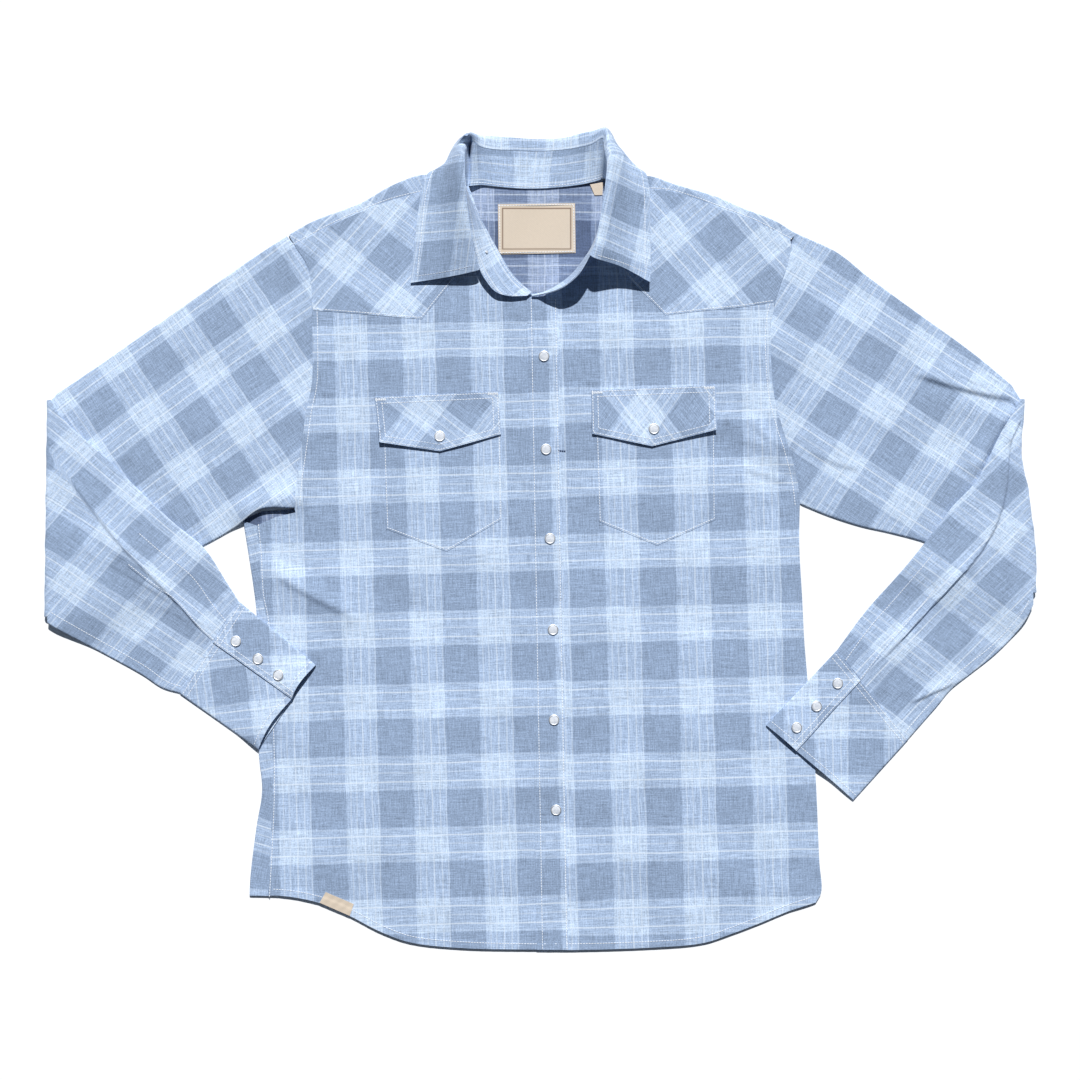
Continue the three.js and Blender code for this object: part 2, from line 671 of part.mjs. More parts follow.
// Collar sections from the left front end, round the back of the neck, to the right front end.
// b: the stand's seam on the neckline; t: the stand's top; r: the crest of the roll; m: half way down
// the leaf; e: the leaf's free edge. Rows without r, m and e are the stand's ends past the leaf.
const COLLAR = table(
  ["bx", "by", "bz", "tx", "ty", "tz", "rx", "ry", "rz", "mx", "my", "mz", "ex", "ey", "ez"],
  [
    [532, 292.5, 6.6, 527, 296, 7.4],
    [524, 286, 5.6, 510, 296.5, 9.5],
    [515, 277, 5.4, 496, 292.5, 12],
    [507, 266, 5.4, 486, 281.5, 14],
    [500, 254, 5.4, 480, 270.5, 16, 476.5, 272, 17.2, 446, 278, 11.5, 411, 283, 6.2],
    [492, 240, 5.4, 474.5, 249, 22, 471, 250, 23.6, 442, 256, 14, 413.4, 258, 5.6],
    [484, 225, 5.3, 470.5, 227, 28, 466.5, 228, 29.8, 441, 232, 15, 416.4, 232, 5.4],
    [475, 208, 5.3, 467.5, 205.5, 32, 463.5, 206, 33.8, 441, 208, 16, 419, 210, 5.4],
    [468, 194, 5.3, 466, 188, 34, 462, 187.5, 35.6, 442, 187, 16, 422.4, 190, 5.2],
    [463.5, 183, 5.4, 465, 170, 33, 461.5, 168.5, 34.8, 444, 168, 13, 430.5, 172, 4.2],
    [467, 180.4, 5, 467, 158, 29, 463.6, 154.5, 30.4, 449, 157.5, 9, 450, 174.4, 1.4],
    [476, 182.4, 3.8, 474, 150, 18.5, 471, 137.4, 18, 465.5, 141, 5, 473, 177, 0.6],
    [494, 186, 2.6, 492, 149.6, 8, 490.6, 137.2, 7.6, 490, 138.6, 1.4, 493, 181, 0.6],
    [515, 187.9, 2.1, 515, 151, 4.8, 515, 138, 4.4, 515, 139.6, 0.9, 515, 183, 0.6],
    [535, 188.3, 2.1, 538, 151.6, 4.2, 538, 139.4, 3.8, 538, 141, 0.8, 537, 183.4, 0.6],
    [556, 187.3, 2.1, 560, 150.6, 4.8, 560, 139, 4.4, 560, 140.6, 0.9, 559, 182.6, 0.6],
    [578, 184.8, 2.6, 580, 148.2, 8, 580, 134.8, 7.6, 580.6, 136.2, 1.4, 580, 179.6, 0.6],
    [596, 180.6, 3.8, 597, 146, 18.5, 602.4, 131.4, 18, 608, 136, 5, 600, 173.4, 0.6],
    [603, 178.4, 5, 604.4, 155, 29, 607.6, 148, 30.6, 622, 152, 9, 626, 171.6, 1.4],
    [607.4, 181, 5.4, 606.6, 167, 33, 610, 163.5, 35, 628, 163, 13, 642.6, 171.6, 4.2],
    [605.6, 195, 5.3, 604.8, 189, 35, 608.6, 188, 36.8, 629, 188, 17, 648.6, 187, 5.4],
    [602, 214, 5.3, 601.6, 211, 36, 605.4, 211, 37.8, 628, 212, 18, 649.6, 209, 6],
    [597, 234, 5.3, 598.2, 231, 36, 602, 232, 37.8, 627, 237, 20, 649.8, 234, 8],
    [590, 250, 5.3, 594.2, 249, 36, 598, 251.4, 37.6, 626, 258, 22, 649.8, 262, 10.5],
    [585, 257.5, 5.3, 589.2, 258.4, 35, 593, 261, 36.4, 620, 268.4, 24, 649.6, 283, 12.6],
    [572, 274, 5.4, 577.5, 277.5, 32],
    [558, 285, 5.5, 561.6, 289.6, 25],
    [546, 291.4, 5.8, 547.4, 294, 15],
    [538, 293.8, 6.6, 538.6, 295.4, 9],
  ],
);
const STAND_ACROSS = 4;
const LEAF_ACROSS = 11;

function curveThrough(points) {
  return new THREE.CatmullRomCurve3(points, false, "centripetal");
}

function standRows() {
  return COLLAR.map((c) => {
    const base = at(c.bx, c.by, c.bz);
    const top = at(c.tx, c.ty, c.tz);
    const row = [];
    for (let k = 0; k <= STAND_ACROSS; k += 1) row.push(base.clone().lerp(top, k / STAND_ACROSS));
    return row;
  });
}

function leafRows() {
  return COLLAR.filter((c) => c.rx !== undefined).map((c) => {
    const base = at(c.bx, c.by, c.bz);
    const top = at(c.tx, c.ty, c.tz);
    const start = top.clone().addScaledVector(top.clone().sub(base).normalize(), LEAF_RISE);
    const section = curveThrough([start, at(c.rx, c.ry, c.rz), at(c.mx, c.my, c.mz), at(c.ex, c.ey, c.ez)]);
    return section.getSpacedPoints(LEAF_ACROSS).map((p) => p.setZ(Math.max(p.z, FLOOR_MID)));
  });
}

// Snaps: a pearl cap in a metal rim, one turned solid each
const SNAPS = {
  front: table(["x", "y"], [[544, 356], [546, 449], [550, 538], [553, 629], [554, 719], [556, 809]]),
  flap: table(["x", "y"], [[440, 436], [653.6, 428.6]]),
};

// Snaps of the cuffs, by how far along the cuff and how far across the flattened sleeve they sit
const CUFF_SNAPS = {
  left: table(["along", "across"], [[0.19, 0.3], [0.48, 0.3], [0.76, 0.3]]),
  right: table(["along", "across"], [[0.2, 0.2], [0.52, 0.2], [0.82, 0.2]]),
};

function snapGeometry() {
  const r = SNAP_DIAMETER / 2;
  const h = SNAP_HEIGHT;
  const profile = [[0, 0], [r * 0.92, 0], [r, h * 0.3], [r * 0.9, h * 0.62], [r * 0.55, h * 0.9], [0, h]];
  const geometry = new THREE.LatheGeometry(profile.map(([x, y]) => new THREE.Vector2(x, y)), SNAP_SIDES);
  geometry.rotateX(Math.PI / 2);
  geometry.deleteAttribute("normal");
  geometry.deleteAttribute("uv");
  return facingOut(mergeVertices(geometry, 1e-4));
}

// Assembly
const shirt = new THREE.Group();
shirt.name = "western_snap_shirt";

function add(name, geometry, look) {
  const mesh = new THREE.Mesh(geometry, new THREE.MeshStandardMaterial(look));
  mesh.name = name;
  shirt.add(mesh);
  return mesh;
}

add("back", buildBack(), CLOTH_INSIDE);
add("back_yoke", buildBackYoke(), CLOTH_INSIDE);
for (const side of ["left", "right"]) {
  add(`front_${side}`, panel(frontOutline(side), layer(0)), CLOTH);
  add(`front_yoke_${side}`, panel(yokeOutline(side), layer(1)), CLOTH);
  add(`pocket_${side}`, panel(polyline(POCKETS[side]), layer(1)), CLOTH);
  add(`flap_${side}`, buildFlap(FLAPS[side]), CLOTH);
  add(`sleeve_${side}`, wall(sleeveRows(side), { loop: true }), CLOTH);
  add(`cuff_${side}`, wall(cuffRows(side)), CLOTH);
  add(`sleeve_placket_${side}`, wall(sleevePlacketRows(side)), CLOTH);
}
add("placket", panel(polyline(PLACKET), layer(1)), CLOTH);
add("collar_stand", wall(standRows()), CLOTH);
add("collar_leaf", wall(leafRows()), CLOTH);

const labelHeight = WALL + GAP + LABEL_WALL / 2;
add("neck_label", panel(
  polyline([[498, 204], [575, 203], [575, 253], [502.5, 254]]),
  () => labelHeight,
  { thickness: LABEL_WALL, ...onFloor },
), LABEL);
add("size_tab", panel(
  polyline([[590, 184.2], [601.6, 183], [600, 195], [594, 195]]),
  () => labelHeight,
  { thickness: LABEL_WALL, ...onFloor },
), LABEL);
add("hem_tab", panel(
  polyline([[326, 891], [354, 903], [350, 914.4], [320, 901]]),
  (x, y) => frontHeight(x, y) + WALL / 2 + GAP + LABEL_WALL / 2,
  { thickness: LABEL_WALL },
), LABEL);

function seatSnap(name, place, top) {
  add(name, snapGeometry(), PEARL).position.copy(at(place.x, place.y, top + GAP));
}

SNAPS.front.forEach((p, i) => seatSnap(`snap_front_${i + 1}`, p, layer(1)(p.x, p.y) + WALL / 2));
SNAPS.flap.forEach((p, i) => {
  const side = i === 0 ? "left" : "right";
  seatSnap(`snap_flap_${side}`, p, layer(2)(p.x, p.y) + WALL / 2 + FLAP_SLOPE_ROOM);
});

for (const side of ["left", "right"]) {
  CUFF_SNAPS[side].forEach(({ along, across }, i) => {
    const top = cuffTop(side, along, across) + PITCH + WALL / 2 + GAP;
    seatSnap(`snap_cuff_${side}_${i + 1}`, cuffPlace(side, along, across), top);
  });
}

export default shirt;
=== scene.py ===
"""Western snap shirt in plaid cotton, laid face up on its back with both sleeves folded at the elbow.

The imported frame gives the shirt's solids. This script lays thin cloth over them, sews it and sets the
snaps. Lay tables are in millimetres on the laying table, x to the right and y down towards the hem;
lay_to_model() turns such places into the frame, and piece() brings them to metres.
"""

import functools
import math

import bpy
import numpy as np
from bpy.props import FloatProperty, FloatVectorProperty, PointerProperty
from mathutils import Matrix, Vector
from mathutils.geometry import delaunay_2d_cdt


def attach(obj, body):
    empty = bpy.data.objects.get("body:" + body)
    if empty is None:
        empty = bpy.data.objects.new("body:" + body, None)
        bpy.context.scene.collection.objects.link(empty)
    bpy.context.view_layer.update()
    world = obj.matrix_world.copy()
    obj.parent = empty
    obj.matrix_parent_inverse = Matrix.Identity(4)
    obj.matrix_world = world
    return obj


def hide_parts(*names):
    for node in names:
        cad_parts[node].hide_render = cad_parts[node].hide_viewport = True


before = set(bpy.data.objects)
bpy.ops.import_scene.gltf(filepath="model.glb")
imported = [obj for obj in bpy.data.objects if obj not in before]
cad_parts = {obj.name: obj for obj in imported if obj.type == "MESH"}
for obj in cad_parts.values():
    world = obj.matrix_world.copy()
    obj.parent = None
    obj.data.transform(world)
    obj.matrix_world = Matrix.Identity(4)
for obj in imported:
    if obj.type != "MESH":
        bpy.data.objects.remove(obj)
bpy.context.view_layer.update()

bl_info = {
    "name": "Western snap shirt",
    "version": (1, 0, 0),
    "blender": (4, 5, 0),
    "location": "3D View > Sidebar > Shirt",
    "description": "Lays a plaid western shirt over its frame, with its stitching and snaps",
    "category": "Object",
}

# Sizes of the lay that the solids share, in millimetres
MARK = np.array([540.0, 539.5])
WALL = 1.2
PITCH = 1.5
FLOOR_MID = 0.6
BODY_LOFT = 2.0
TUBE_EDGE = 1.8
ELBOW_RADIUS = 2.8
YOKE_SEAM_Y = 330
FLAP_LIFT = 2.6
FLAP_LIFT_REACH = 34
CUFF_UNDERLAP = 0.17
PLACKET_LEAN = (544, 356, 0.0265)

# Cloth of the finished shirt, in millimetres
REPEAT = 70.0  # one repeat of the plaid
CLOTH = 0.7
DOUBLED = 1.1  # collar and cuffs, two layers and an interlining
SEAT = (WALL - CLOTH) / 2  # brings the thin cloth to the faces of its solid
THIN = 0.4  # the cloth of pieces sewn flat on another
ON_TOP = (CLOTH + THIN) / 2 + 0.03  # rise from the middle of a cloth to the middle of a thin piece on it
FOLD_RADIUS = (PITCH + 2 * SEAT) / 2
THREAD_LIFT = 0.04

ARMHOLE = {
    "left": [(287, 236), (308, 267), (312, 308), (313, 343), (312, 384), (307, 408), (302, 445), (298, 475),
             (295, 507)],
    "right": [(795, 233), (788, 261), (779, 290), (771, 322), (771, 363), (774, 396), (781, 424), (790, 453),
              (797, 480), (800, 503)],
}
SIDE_LEFT = [(244.5, 525), (254, 586), (257, 613), (259, 750), (262.6, 790), (257, 826), (251, 875), (250, 895)]
SIDE_SEAM_LEFT = [(257, 525), (260, 556), (262, 594), (267, 620), (271, 700), (273, 780), (271, 840), (268, 895)]
SIDE_RIGHT = [(799.5, 505), (799, 544), (802, 599), (804, 640), (807, 676), (815, 771), (819, 860), (821, 891),
              (815.5, 901.5)]
HEM = [(250, 895), (283, 895), (320, 902), (352, 916), (377, 929), (409, 941), (461, 947), (560, 949),
       (643, 947), (703, 942), (731, 933), (760, 922), (789, 910), (815.5, 901.5)]
NECK_BACK = [(468, 182), (494, 187), (535, 188.6), (576, 185.5), (606.5, 179.4)]
NECK = {
    "left": [(468, 184), (484, 226), (500, 256), (516, 278), (531, 292), (542, 297)],
    "right": [(606, 182), (602, 214), (597, 234), (588, 254), (563, 282), (542, 297)],
}
SHOULDER = {
    "left": [(287, 236), (314, 221), (343, 210), (363, 202), (392, 185.5), (424, 174.5), (446, 179), (466, 181)],
    "right": [(795, 233), (773, 220), (740, 207), (720, 198), (674, 184), (649, 176), (628, 178), (608, 179.4)],
}
SHOULDER_SEAM = {
    "left": [(295, 245), (331, 225.5), (363, 211), (392, 200), (420, 193), (445, 188), (467, 184)],
    "right": [(790, 240), (756, 222), (720, 208), (687, 196), (669, 191), (640, 189), (607, 184)],
}
YOKE_POINTS = {
    "left": [(488, 236), (447, 288), (422, 319), (363, 314), (313.6, 310)],
    "right": [(596, 238), (632, 281), (665, 315), (700, 311), (740, 307), (773, 302)],
}
POCKETS = {
    "left": [(382, 402), (386.5, 528.5), (447, 551), (502, 519), (501, 396)],
    "right": [(594.5, 395), (598.5, 521), (657, 545), (715.5, 519), (714.5, 390)],
}
FLAPS = {
    "left": ([(375, 397), (499, 391), (501, 434), (440, 451), (380, 442)], (380, 442)),
    "right": ([(591, 390), (715, 385), (716, 429.5), (652, 446), (592, 433.5)], (716, 429.5)),
}
PLACKET = [(527, 299), (531, 296.5), (545, 296), (557.2, 289), (568.5, 948.8), (536.6, 948.6)]

# Soft folds: from, to, width, height; a negative height is a trough
BODY_FOLDS = [
    (272, 568, 345, 616, 11, 2.2), (262, 548, 300, 566, 9, -0.9), (730, 418, 790, 462, 11, 2.0),
    (716, 444, 786, 486, 13, -0.8), (300, 700, 330, 880, 22, 1.2), (765, 800, 778, 880, 18, 1.1),
]
# Smaller creases of the thin cloth, over the folds that the solids have
BODY_CREASES = [
    (266, 556, 330, 590, 4, 0.5), (300, 600, 352, 640, 6, 0.5), (286, 640, 296, 760, 7, 0.45),
    (745, 440, 795, 452, 4, 0.6), (738, 474, 792, 492, 5, 0.5), (322, 340, 332, 470, 8, 0.5),
    (752, 330, 758, 440, 8, 0.45), (420, 640, 452, 905, 16, 0.5), (640, 620, 655, 900, 18, 0.5),
    (500, 560, 508, 880, 10, 0.35), (590, 560, 598, 760, 9, -0.35), (700, 560, 712, 800, 14, 0.5),
    (350, 330, 372, 392, 9, 0.45), (720, 322, 706, 384, 9, 0.45), (784, 560, 790, 720, 8, 0.4),
]
SLEEVE_FOLDS = {
    "left": [(58, 470, 122, 549, 9, 1.2), (122, 549, 205, 632, 9, 1.4), (196, 330, 262, 300, 14, 0.9)],
    "right": [(1012, 404, 926, 380, 10, -1.0), (996, 418, 930, 398, 11, 1.2), (1009, 470, 968, 564, 9, 1.2),
              (968, 564, 880, 664, 9, 1.3), (953, 684, 930, 692, 8, 0.9)],
}
SLEEVE_CREASES = {
    "left": [(70, 430, 96, 470, 5, 0.5), (62, 520, 104, 560, 6, 0.5), (150, 600, 196, 622, 5, 0.5),
             (240, 300, 292, 270, 8, 0.6), (230, 470, 290, 455, 8, 0.6), (120, 380, 170, 352, 9, 0.5),
             (180, 560, 222, 600, 4, 0.5)],
    "right": [(1016, 420, 990, 470, 6, 0.7), (1020, 500, 1000, 600, 6, 0.6), (990, 386, 950, 372, 4, 0.6),
              (800, 300, 850, 322, 9, 0.6), (806, 440, 850, 450, 8, 0.6), (900, 330, 950, 362, 10, 0.5),
              (940, 600, 900, 660, 5, 0.5), (900, 690, 880, 712, 4, 0.5)],
}
# Sharp creases: a run, how high the cloth stands on its right-hand side and how far that reaches
SLEEVE_PLEATS = {
    "left": [([(212, 640), (166, 590), (118, 540), (62, 468)], 2.6, 15), ([(232, 470), (262, 462), (292, 452)], 1.0, 9),
             ([(176, 606), (150, 588), (104, 560)], 0.8, 8)],
    "right": [([(1020, 412), (992, 530), (931, 606), (866, 676)], 4.2, 15), ([(1026, 400), (1021, 420), (1012, 446)], 4.6, 5),
              ([(964, 680), (938, 690), (908, 704)], 3.0, 8), ([(850, 452), (826, 446), (802, 436)], 1.1, 8)],
}
UPPER_PLEATS = {
    "left": [([(60, 396), (84, 412), (104, 432)], 1.6, 8)],
    "right": [([(1034, 402), (990, 396), (953, 387), (908, 373)], 4.4, 13), ([(1022, 402), (999.5, 432), (972, 481)], 7.0, 8),
              ([(860, 470), (830, 462), (806, 448)], 2.0, 9)],
}
BODY_PLEATS = [
    ([(356, 617), (338, 610), (312, 597), (286, 582), (270, 571)], 3.6, 12), ([(794, 486), (768, 478), (736, 466)], 2.4, 9),
    ([(792, 452), (768, 440), (742, 414)], 3.2, 9),
]
# Broad waves that laid cloth keeps: length, direction in degrees, phase, height
WAVES = [(118, 12, 0.4, 0.46), (83, 74, 2.1, 0.38), (61, -38, 4.4, 0.26), (43, 103, 1.2, 0.15), (27, 28, 3.3, 0.07)]
# The left underarm seam stands up a little: its run, reach and height on the sleeve and on the front
UNDERARM = {"sleeve": ([(298, 500), (276, 503), (250, 512)], 17, 6.5), "front": ([(299, 496), (303, 476)], 11, 4.5)}

# Sections of the flattened sleeves: shoulder edge, underarm edge, loft, share of the armhole's bend
UPPER_ARM = {
    "left": [(287, 236, 295, 507, 0.6, 1), (255, 257, 262, 508, 1.4, 0.62), (220, 281, 236, 526, 2.2, 0.25),
             (180, 309, 203, 545, 2.4, 0.06), (140, 337, 160, 565, 2.0, 0), (100, 365, 115, 585, 1.4, 0),
             (72, 384, 75, 603, 0.8, 0), (58, 393, 56, 611, 0.2, 0)],
    "right": [(795, 233, 800, 503, 0.6, 1), (836, 252, 829, 515, 1.4, 0.62), (866, 275.5, 860, 525, 2.2, 0.25),
              (895, 297, 891, 532, 2.4, 0.06), (924, 318, 924, 541, 2.0, 0), (955, 340, 965, 557, 1.6, 0),
              (985, 363, 1000, 574, 1.0, 0), (1011, 385, 1022, 588, 0.2, 0)],
}
ELBOW = {"left": (47.5, 400, 44.8, 616, -1), "right": (1024.5, 399, 1035.5, 592, 1)}
FOREARM = {
    "left": [(60, 414, 49, 622, 0.3, 0), (75, 430, 57, 627, 0.8, 0), (100, 451, 70, 634, 1.5, 0),
             (139, 489, 92, 646, 2.2, 0), (175, 523, 118, 660, 2.6, 0), (205, 548, 143, 674, 2.4, 0),
             (226, 581, 163, 687, 1.8, 0), (238.6, 601, 180, 692, 1.2, 0)],
    "right": [(1014, 412, 1031.5, 604, 0.3, 0), (1003, 430, 1024, 620, 0.8, 0), (990, 453, 1012, 636, 1.5, 0),
              (975, 481, 994, 654, 2.2, 0), (951, 507, 970, 673, 2.6, 0), (926, 540, 951, 688, 2.6, 0),
              (895, 578, 936, 706, 2.2, 0), (865, 612, 921, 723, 1.6, 0), (837, 650, 908, 738, 1.2, 0)],
}
UNDER_EDGE = {"left": (250, 521, 45, 619), "right": (820, 512, 1036, 598)}
CUFF = {
    "left": {"seam": (239.4, 601.6, 180.8, 692.8), "end": (316, 664.5, 259, 748), "lap": (0.44, 0.40),
             "drawn": (0.036, 0.046), "gape": 3.0},
    "right": {"seam": (836.4, 650.8, 907.4, 738.6), "end": (766, 724.5, 853, 799), "lap": (0.33, 0.34),
              "drawn": (0.008, 0.008), "gape": 0.8},
}
SLEEVE_PLACKET = {"left": (0.42, (0.2, 0.43)), "right": (0.5, (0.1, 0.335))}

# Collar sections from the left front end round the neck to the right front end: the stand's base and
# top, then the crest of the roll, half way down the leaf and the leaf's free edge
COLLAR = [
    (532, 292.5, 6.6, 527, 296, 7.4),
    (524, 286, 5.6, 510, 296.5, 9.5),
    (515, 277, 5.4, 496, 292.5, 12),
    (507, 266, 5.4, 486, 281.5, 14),
    (500, 254, 5.4, 480, 270.5, 16, 476.5, 272, 17.2, 446, 278, 11.5, 411, 283, 6.2),
    (492, 240, 5.4, 474.5, 249, 22, 471, 250, 23.6, 442, 256, 14, 413.4, 258, 5.6),
    (484, 225, 5.3, 470.5, 227, 28, 466.5, 228, 29.8, 441, 232, 15, 416.4, 232, 5.4),
    (475, 208, 5.3, 467.5, 205.5, 32, 463.5, 206, 33.8, 441, 208, 16, 419, 210, 5.4),
    (468, 194, 5.3, 466, 188, 34, 462, 187.5, 35.6, 442, 187, 16, 422.4, 190, 5.2),
    (464.5, 185, 5.4, 465, 170, 33, 461.5, 168.5, 34.8, 444, 168, 13, 430.5, 172, 4.2),
    (465.6, 184.4, 5, 465.6, 154, 28, 463.4, 150.5, 29.6, 450, 155, 9, 450, 174.4, 1.4),
    (469.4, 185.6, 1.2, 470.4, 147, 2.6, 468, 138.6, 32, 457, 147, 6.5, 461, 176, 0.9),
    (471.4, 186, 6.4, 473.2, 144, 19, 471.8, 136.6, 26, 467.5, 140.5, 5, 475, 177.6, 0.6),
    (482, 184.8, 3.2, 479, 147.6, 13, 479, 137, 12.6, 477.4, 139.4, 3, 482, 179, 0.6),
    (494, 186, 2.6, 490, 150, 8.6, 490.6, 137.2, 7.6, 490, 138.6, 1.4, 493, 181, 0.6),
    (515, 187.9, 2.1, 515, 151, 4.8, 515, 138, 4.4, 515, 139.6, 0.9, 515, 183, 0.6),
    (535, 188.3, 2.1, 538, 151.6, 4.2, 538, 139.4, 3.8, 538, 141, 0.8, 537, 183.4, 0.6),
    (556, 187.3, 2.1, 560, 150.6, 4.8, 560, 139, 4.4, 560, 140.6, 0.9, 559, 182.6, 0.6),
    (578, 184.8, 2.6, 580, 148.2, 8, 580, 134.8, 7.6, 580.6, 136.2, 1.4, 580, 179.6, 0.6),
    (590, 182.4, 3.2, 592, 146, 13, 593, 133, 12.8, 595, 135.4, 3, 591, 178, 0.6),
    (598, 180.4, 3.8, 602.4, 141, 19.5, 604.6, 130.8, 19.4, 609.5, 135.5, 5, 600, 173.4, 0.6),
    (603, 178.4, 5, 604.4, 155, 29, 607.6, 148, 30.6, 622, 152, 9, 626, 171.6, 1.4),
    (607.4, 181, 5.4, 606.6, 167, 33, 610, 163.5, 35, 628, 163, 13, 642.6, 171.6, 4.2),
    (605.6, 195, 5.3, 604.8, 189, 35, 608.6, 188, 36.8, 629, 188, 17, 648.6, 187, 5.4),
    (602, 214, 5.3, 601.6, 211, 36, 605.4, 211, 37.8, 628, 212, 18, 649.6, 209, 6),
    (597, 234, 5.3, 598.2, 231, 36, 602, 232, 37.8, 627, 237, 20, 649.8, 234, 8),
    (590, 250, 5.3, 594.2, 249, 36, 598, 251.4, 37.6, 626, 258, 22, 649.8, 262, 10.5),
    (585, 257.5, 5.3, 589.2, 258.4, 35, 593, 261, 36.4, 620, 268.4, 24, 649.6, 283, 12.6),
    (572, 274, 5.4, 577.5, 277.5, 32),
    (558, 285, 5.5, 561.6, 289.6, 25),
    (546, 291.4, 5.8, 547.4, 294, 15),
    (538, 293.8, 6.4, 538.6, 295.4, 8.4),
    (532, 294.2, 6, 532, 296.4, 6.6),
]

SNAPS_FRONT = [(544, 356), (546, 449), (550, 538), (553, 629), (554, 719), (556, 809)]
SNAPS_FLAP = [("left", 440, 436), ("right", 653.6, 428.6)]
SNAPS_CUFF = {"left": [(0.19, 0.3), (0.48, 0.3), (0.76, 0.3)], "right": [(0.2, 0.2), (0.52, 0.2), (0.82, 0.2)]}

# How the plaid lies on each piece: the warp's count runs at an angle across the lay, with a repeat and the
# place of a light band's middle along it; then the same for the weft
GRAIN = {
    "front_left": (-1.5, 68, 409.9, -1.5, 71.75, 638.8),
    "front_right": (-1.5, 70.5, 677.6, -1.25, 73.25, 636.9),
    "placket": (-1.4, 68, 555.9, -1.5, 71.75, 638.8),
    "pocket_left": (-1.5, 68, 409.9, -1.5, 71.75, 638.8),
    "pocket_right": (-1.5, 70.5, 677.6, -1.25, 73.25, 636.9),
    "yoke_left": (-51, 68, 13.2, -49.5, 71.25, 429.5),
    "yoke_right": (48.75, 70.25, 687.9, 48.75, 74, -348.4),
    "flap_left": (37.25, 65, 585.9, 37.75, 63, 65.6),
    "flap_right": (36, 77.5, 764.2, 51.75, 75, -247.9),
    "back": (-0.5, 68, 409.9, -0.5, 71.75, 548),
    "back_yoke": (0, 64, 543, 0, 71, 203),
    "upper_left": (-33.75, 71.75, -32.9, -36.25, 66, 422.6),
    "forearm_left": (40.5, 71.5, 505.5, 33, 66.75, 448.7),
    "forearm_strip_left": (44.5, 74.75, 518.1, 40, 58.75, 288),
    "upper_right": (34, 73.75, 958.8, 33.25, 69.75, -144.3),
    "forearm_right": (-53, 76.25, 101.7, -45.75, 67, 1089.7),
    "cuff_left": (-7.5, 70, 173.9, -7.5, 70, 744.2),
    "cuff_lap_left": (-5, 70, 230.4, -2, 70, 680.9),
    "cuff_right": (0, 70, 831, 0, 70, 721),
    "cuff_lap_right": (0, 70, 800, 0, 70, 688),
    "leaf_left": (8, 59.5, 498.3, -1, 74, 231.2),
    "leaf_right": (12.25, 59, 627.7, 19, 65.25, 25.4),
}


# Sums of the lay
def ramp(start, stop, value):
    """A soft rise from 0 at one value to 1 at another, which may lie on either side of it."""
    t = np.clip((value - start) / (stop - start), 0, 1)
    return t * t * (3 - 2 * t)


def through(points, count, power=0.5):
    """Evenly spaced points, or rows of points, on a smooth curve through the given ones."""
    given = np.asarray(points, float)
    shape = given.shape[1:]
    p = given.reshape(len(given), -1)
    p = np.vstack([2 * p[0] - p[1], p, 2 * p[-1] - p[-2]])
    span = np.maximum(np.linalg.norm(np.diff(p, axis=0), axis=1), 1e-9) ** power
    t = np.concatenate([[0], np.cumsum(span)])
    dense = []
    for i in range(1, len(p) - 2):
        u = np.linspace(t[i], t[i + 1], 17)[: 17 if i == len(p) - 3 else 16, None]
        a = [((t[k + 1] - u) * p[k] + (u - t[k]) * p[k + 1]) / (t[k + 1] - t[k]) for k in (i - 1, i, i + 1)]
        b = [((t[k + 2] - u) * a[n] + (u - t[k]) * a[n + 1]) / (t[k + 2] - t[k]) for n, k in ((0, i - 1), (1, i))]
        dense.append(((t[i + 1] - u) * b[0] + (u - t[i]) * b[1]) / (t[i + 1] - t[i]))
    dense = np.vstack(dense)
    run = np.concatenate([[0], np.cumsum(np.linalg.norm(np.diff(dense, axis=0), axis=1))])
    where = np.linspace(0, run[-1], count)
    return np.column_stack([np.interp(where, run, column) for column in dense.T]).reshape(count, *shape)


def length_of(points):
    return float(np.linalg.norm(np.diff(np.asarray(points, float), axis=0), axis=1).sum())


def stepped(points, step, closed=False):
    """The same run of straight stretches with points no further apart than a step."""
    points = np.asarray(points, float)
    ends = np.vstack([points, points[:1]]) if closed else points
    out = []
    for a, b in zip(ends[:-1], ends[1:]):
        n = max(1, math.ceil(np.linalg.norm(b - a) / step))
        out.append(a + (b - a) * np.arange(n)[:, None] / n)
    if not closed:
        out.append(ends[-1:])
    return np.vstack(out)


def nearest(points, run):
    """For each point the distance to a run of stretches, the nearest place on it and its direction there."""
    run = np.asarray(run, float)
    a, d = run[:-1], np.diff(run, axis=0)
    best = np.full(len(points), 1e9)
    place = np.zeros((len(points), 2))
    along = np.zeros((len(points), 2))
    for start, step in zip(a, d):
        size = float(step @ step)
        if size < 1e-12:
            continue
        t = np.clip(((points - start) @ step) / size, 0, 1)
        q = start + t[:, None] * step
        gap = np.linalg.norm(points - q, axis=1)
        closer = gap < best
        best[closer], place[closer] = gap[closer], q[closer]
        along[closer] = step / math.sqrt(size)
    return best, place, along


def inside(points, outline):
    """Which points lie inside a closed outline."""
    x, y = points[:, 0], points[:, 1]
    odd = np.zeros(len(points), bool)
    for (x0, y0), (x1, y1) in zip(outline, np.roll(outline, -1, axis=0)):
        if y0 == y1:
            continue
        crosses = (y0 > y) != (y1 > y)
        odd ^= crosses & (x < (x1 - x0) * (y - y0) / (y1 - y0) + x0)
    return odd


def outline_area(outline):
    x, y = np.asarray(outline, float).T
    return abs(float(np.dot(x, np.roll(y, -1)) - np.dot(y, np.roll(x, -1)))) / 2


def offset(run, distance):
    """A run moved sideways, to the right of its direction on the laying table."""
    run = np.asarray(run, float)
    way = np.gradient(run, axis=0)
    way /= np.linalg.norm(way, axis=1)[:, None]
    return run + distance * np.column_stack([-way[:, 1], way[:, 0]])


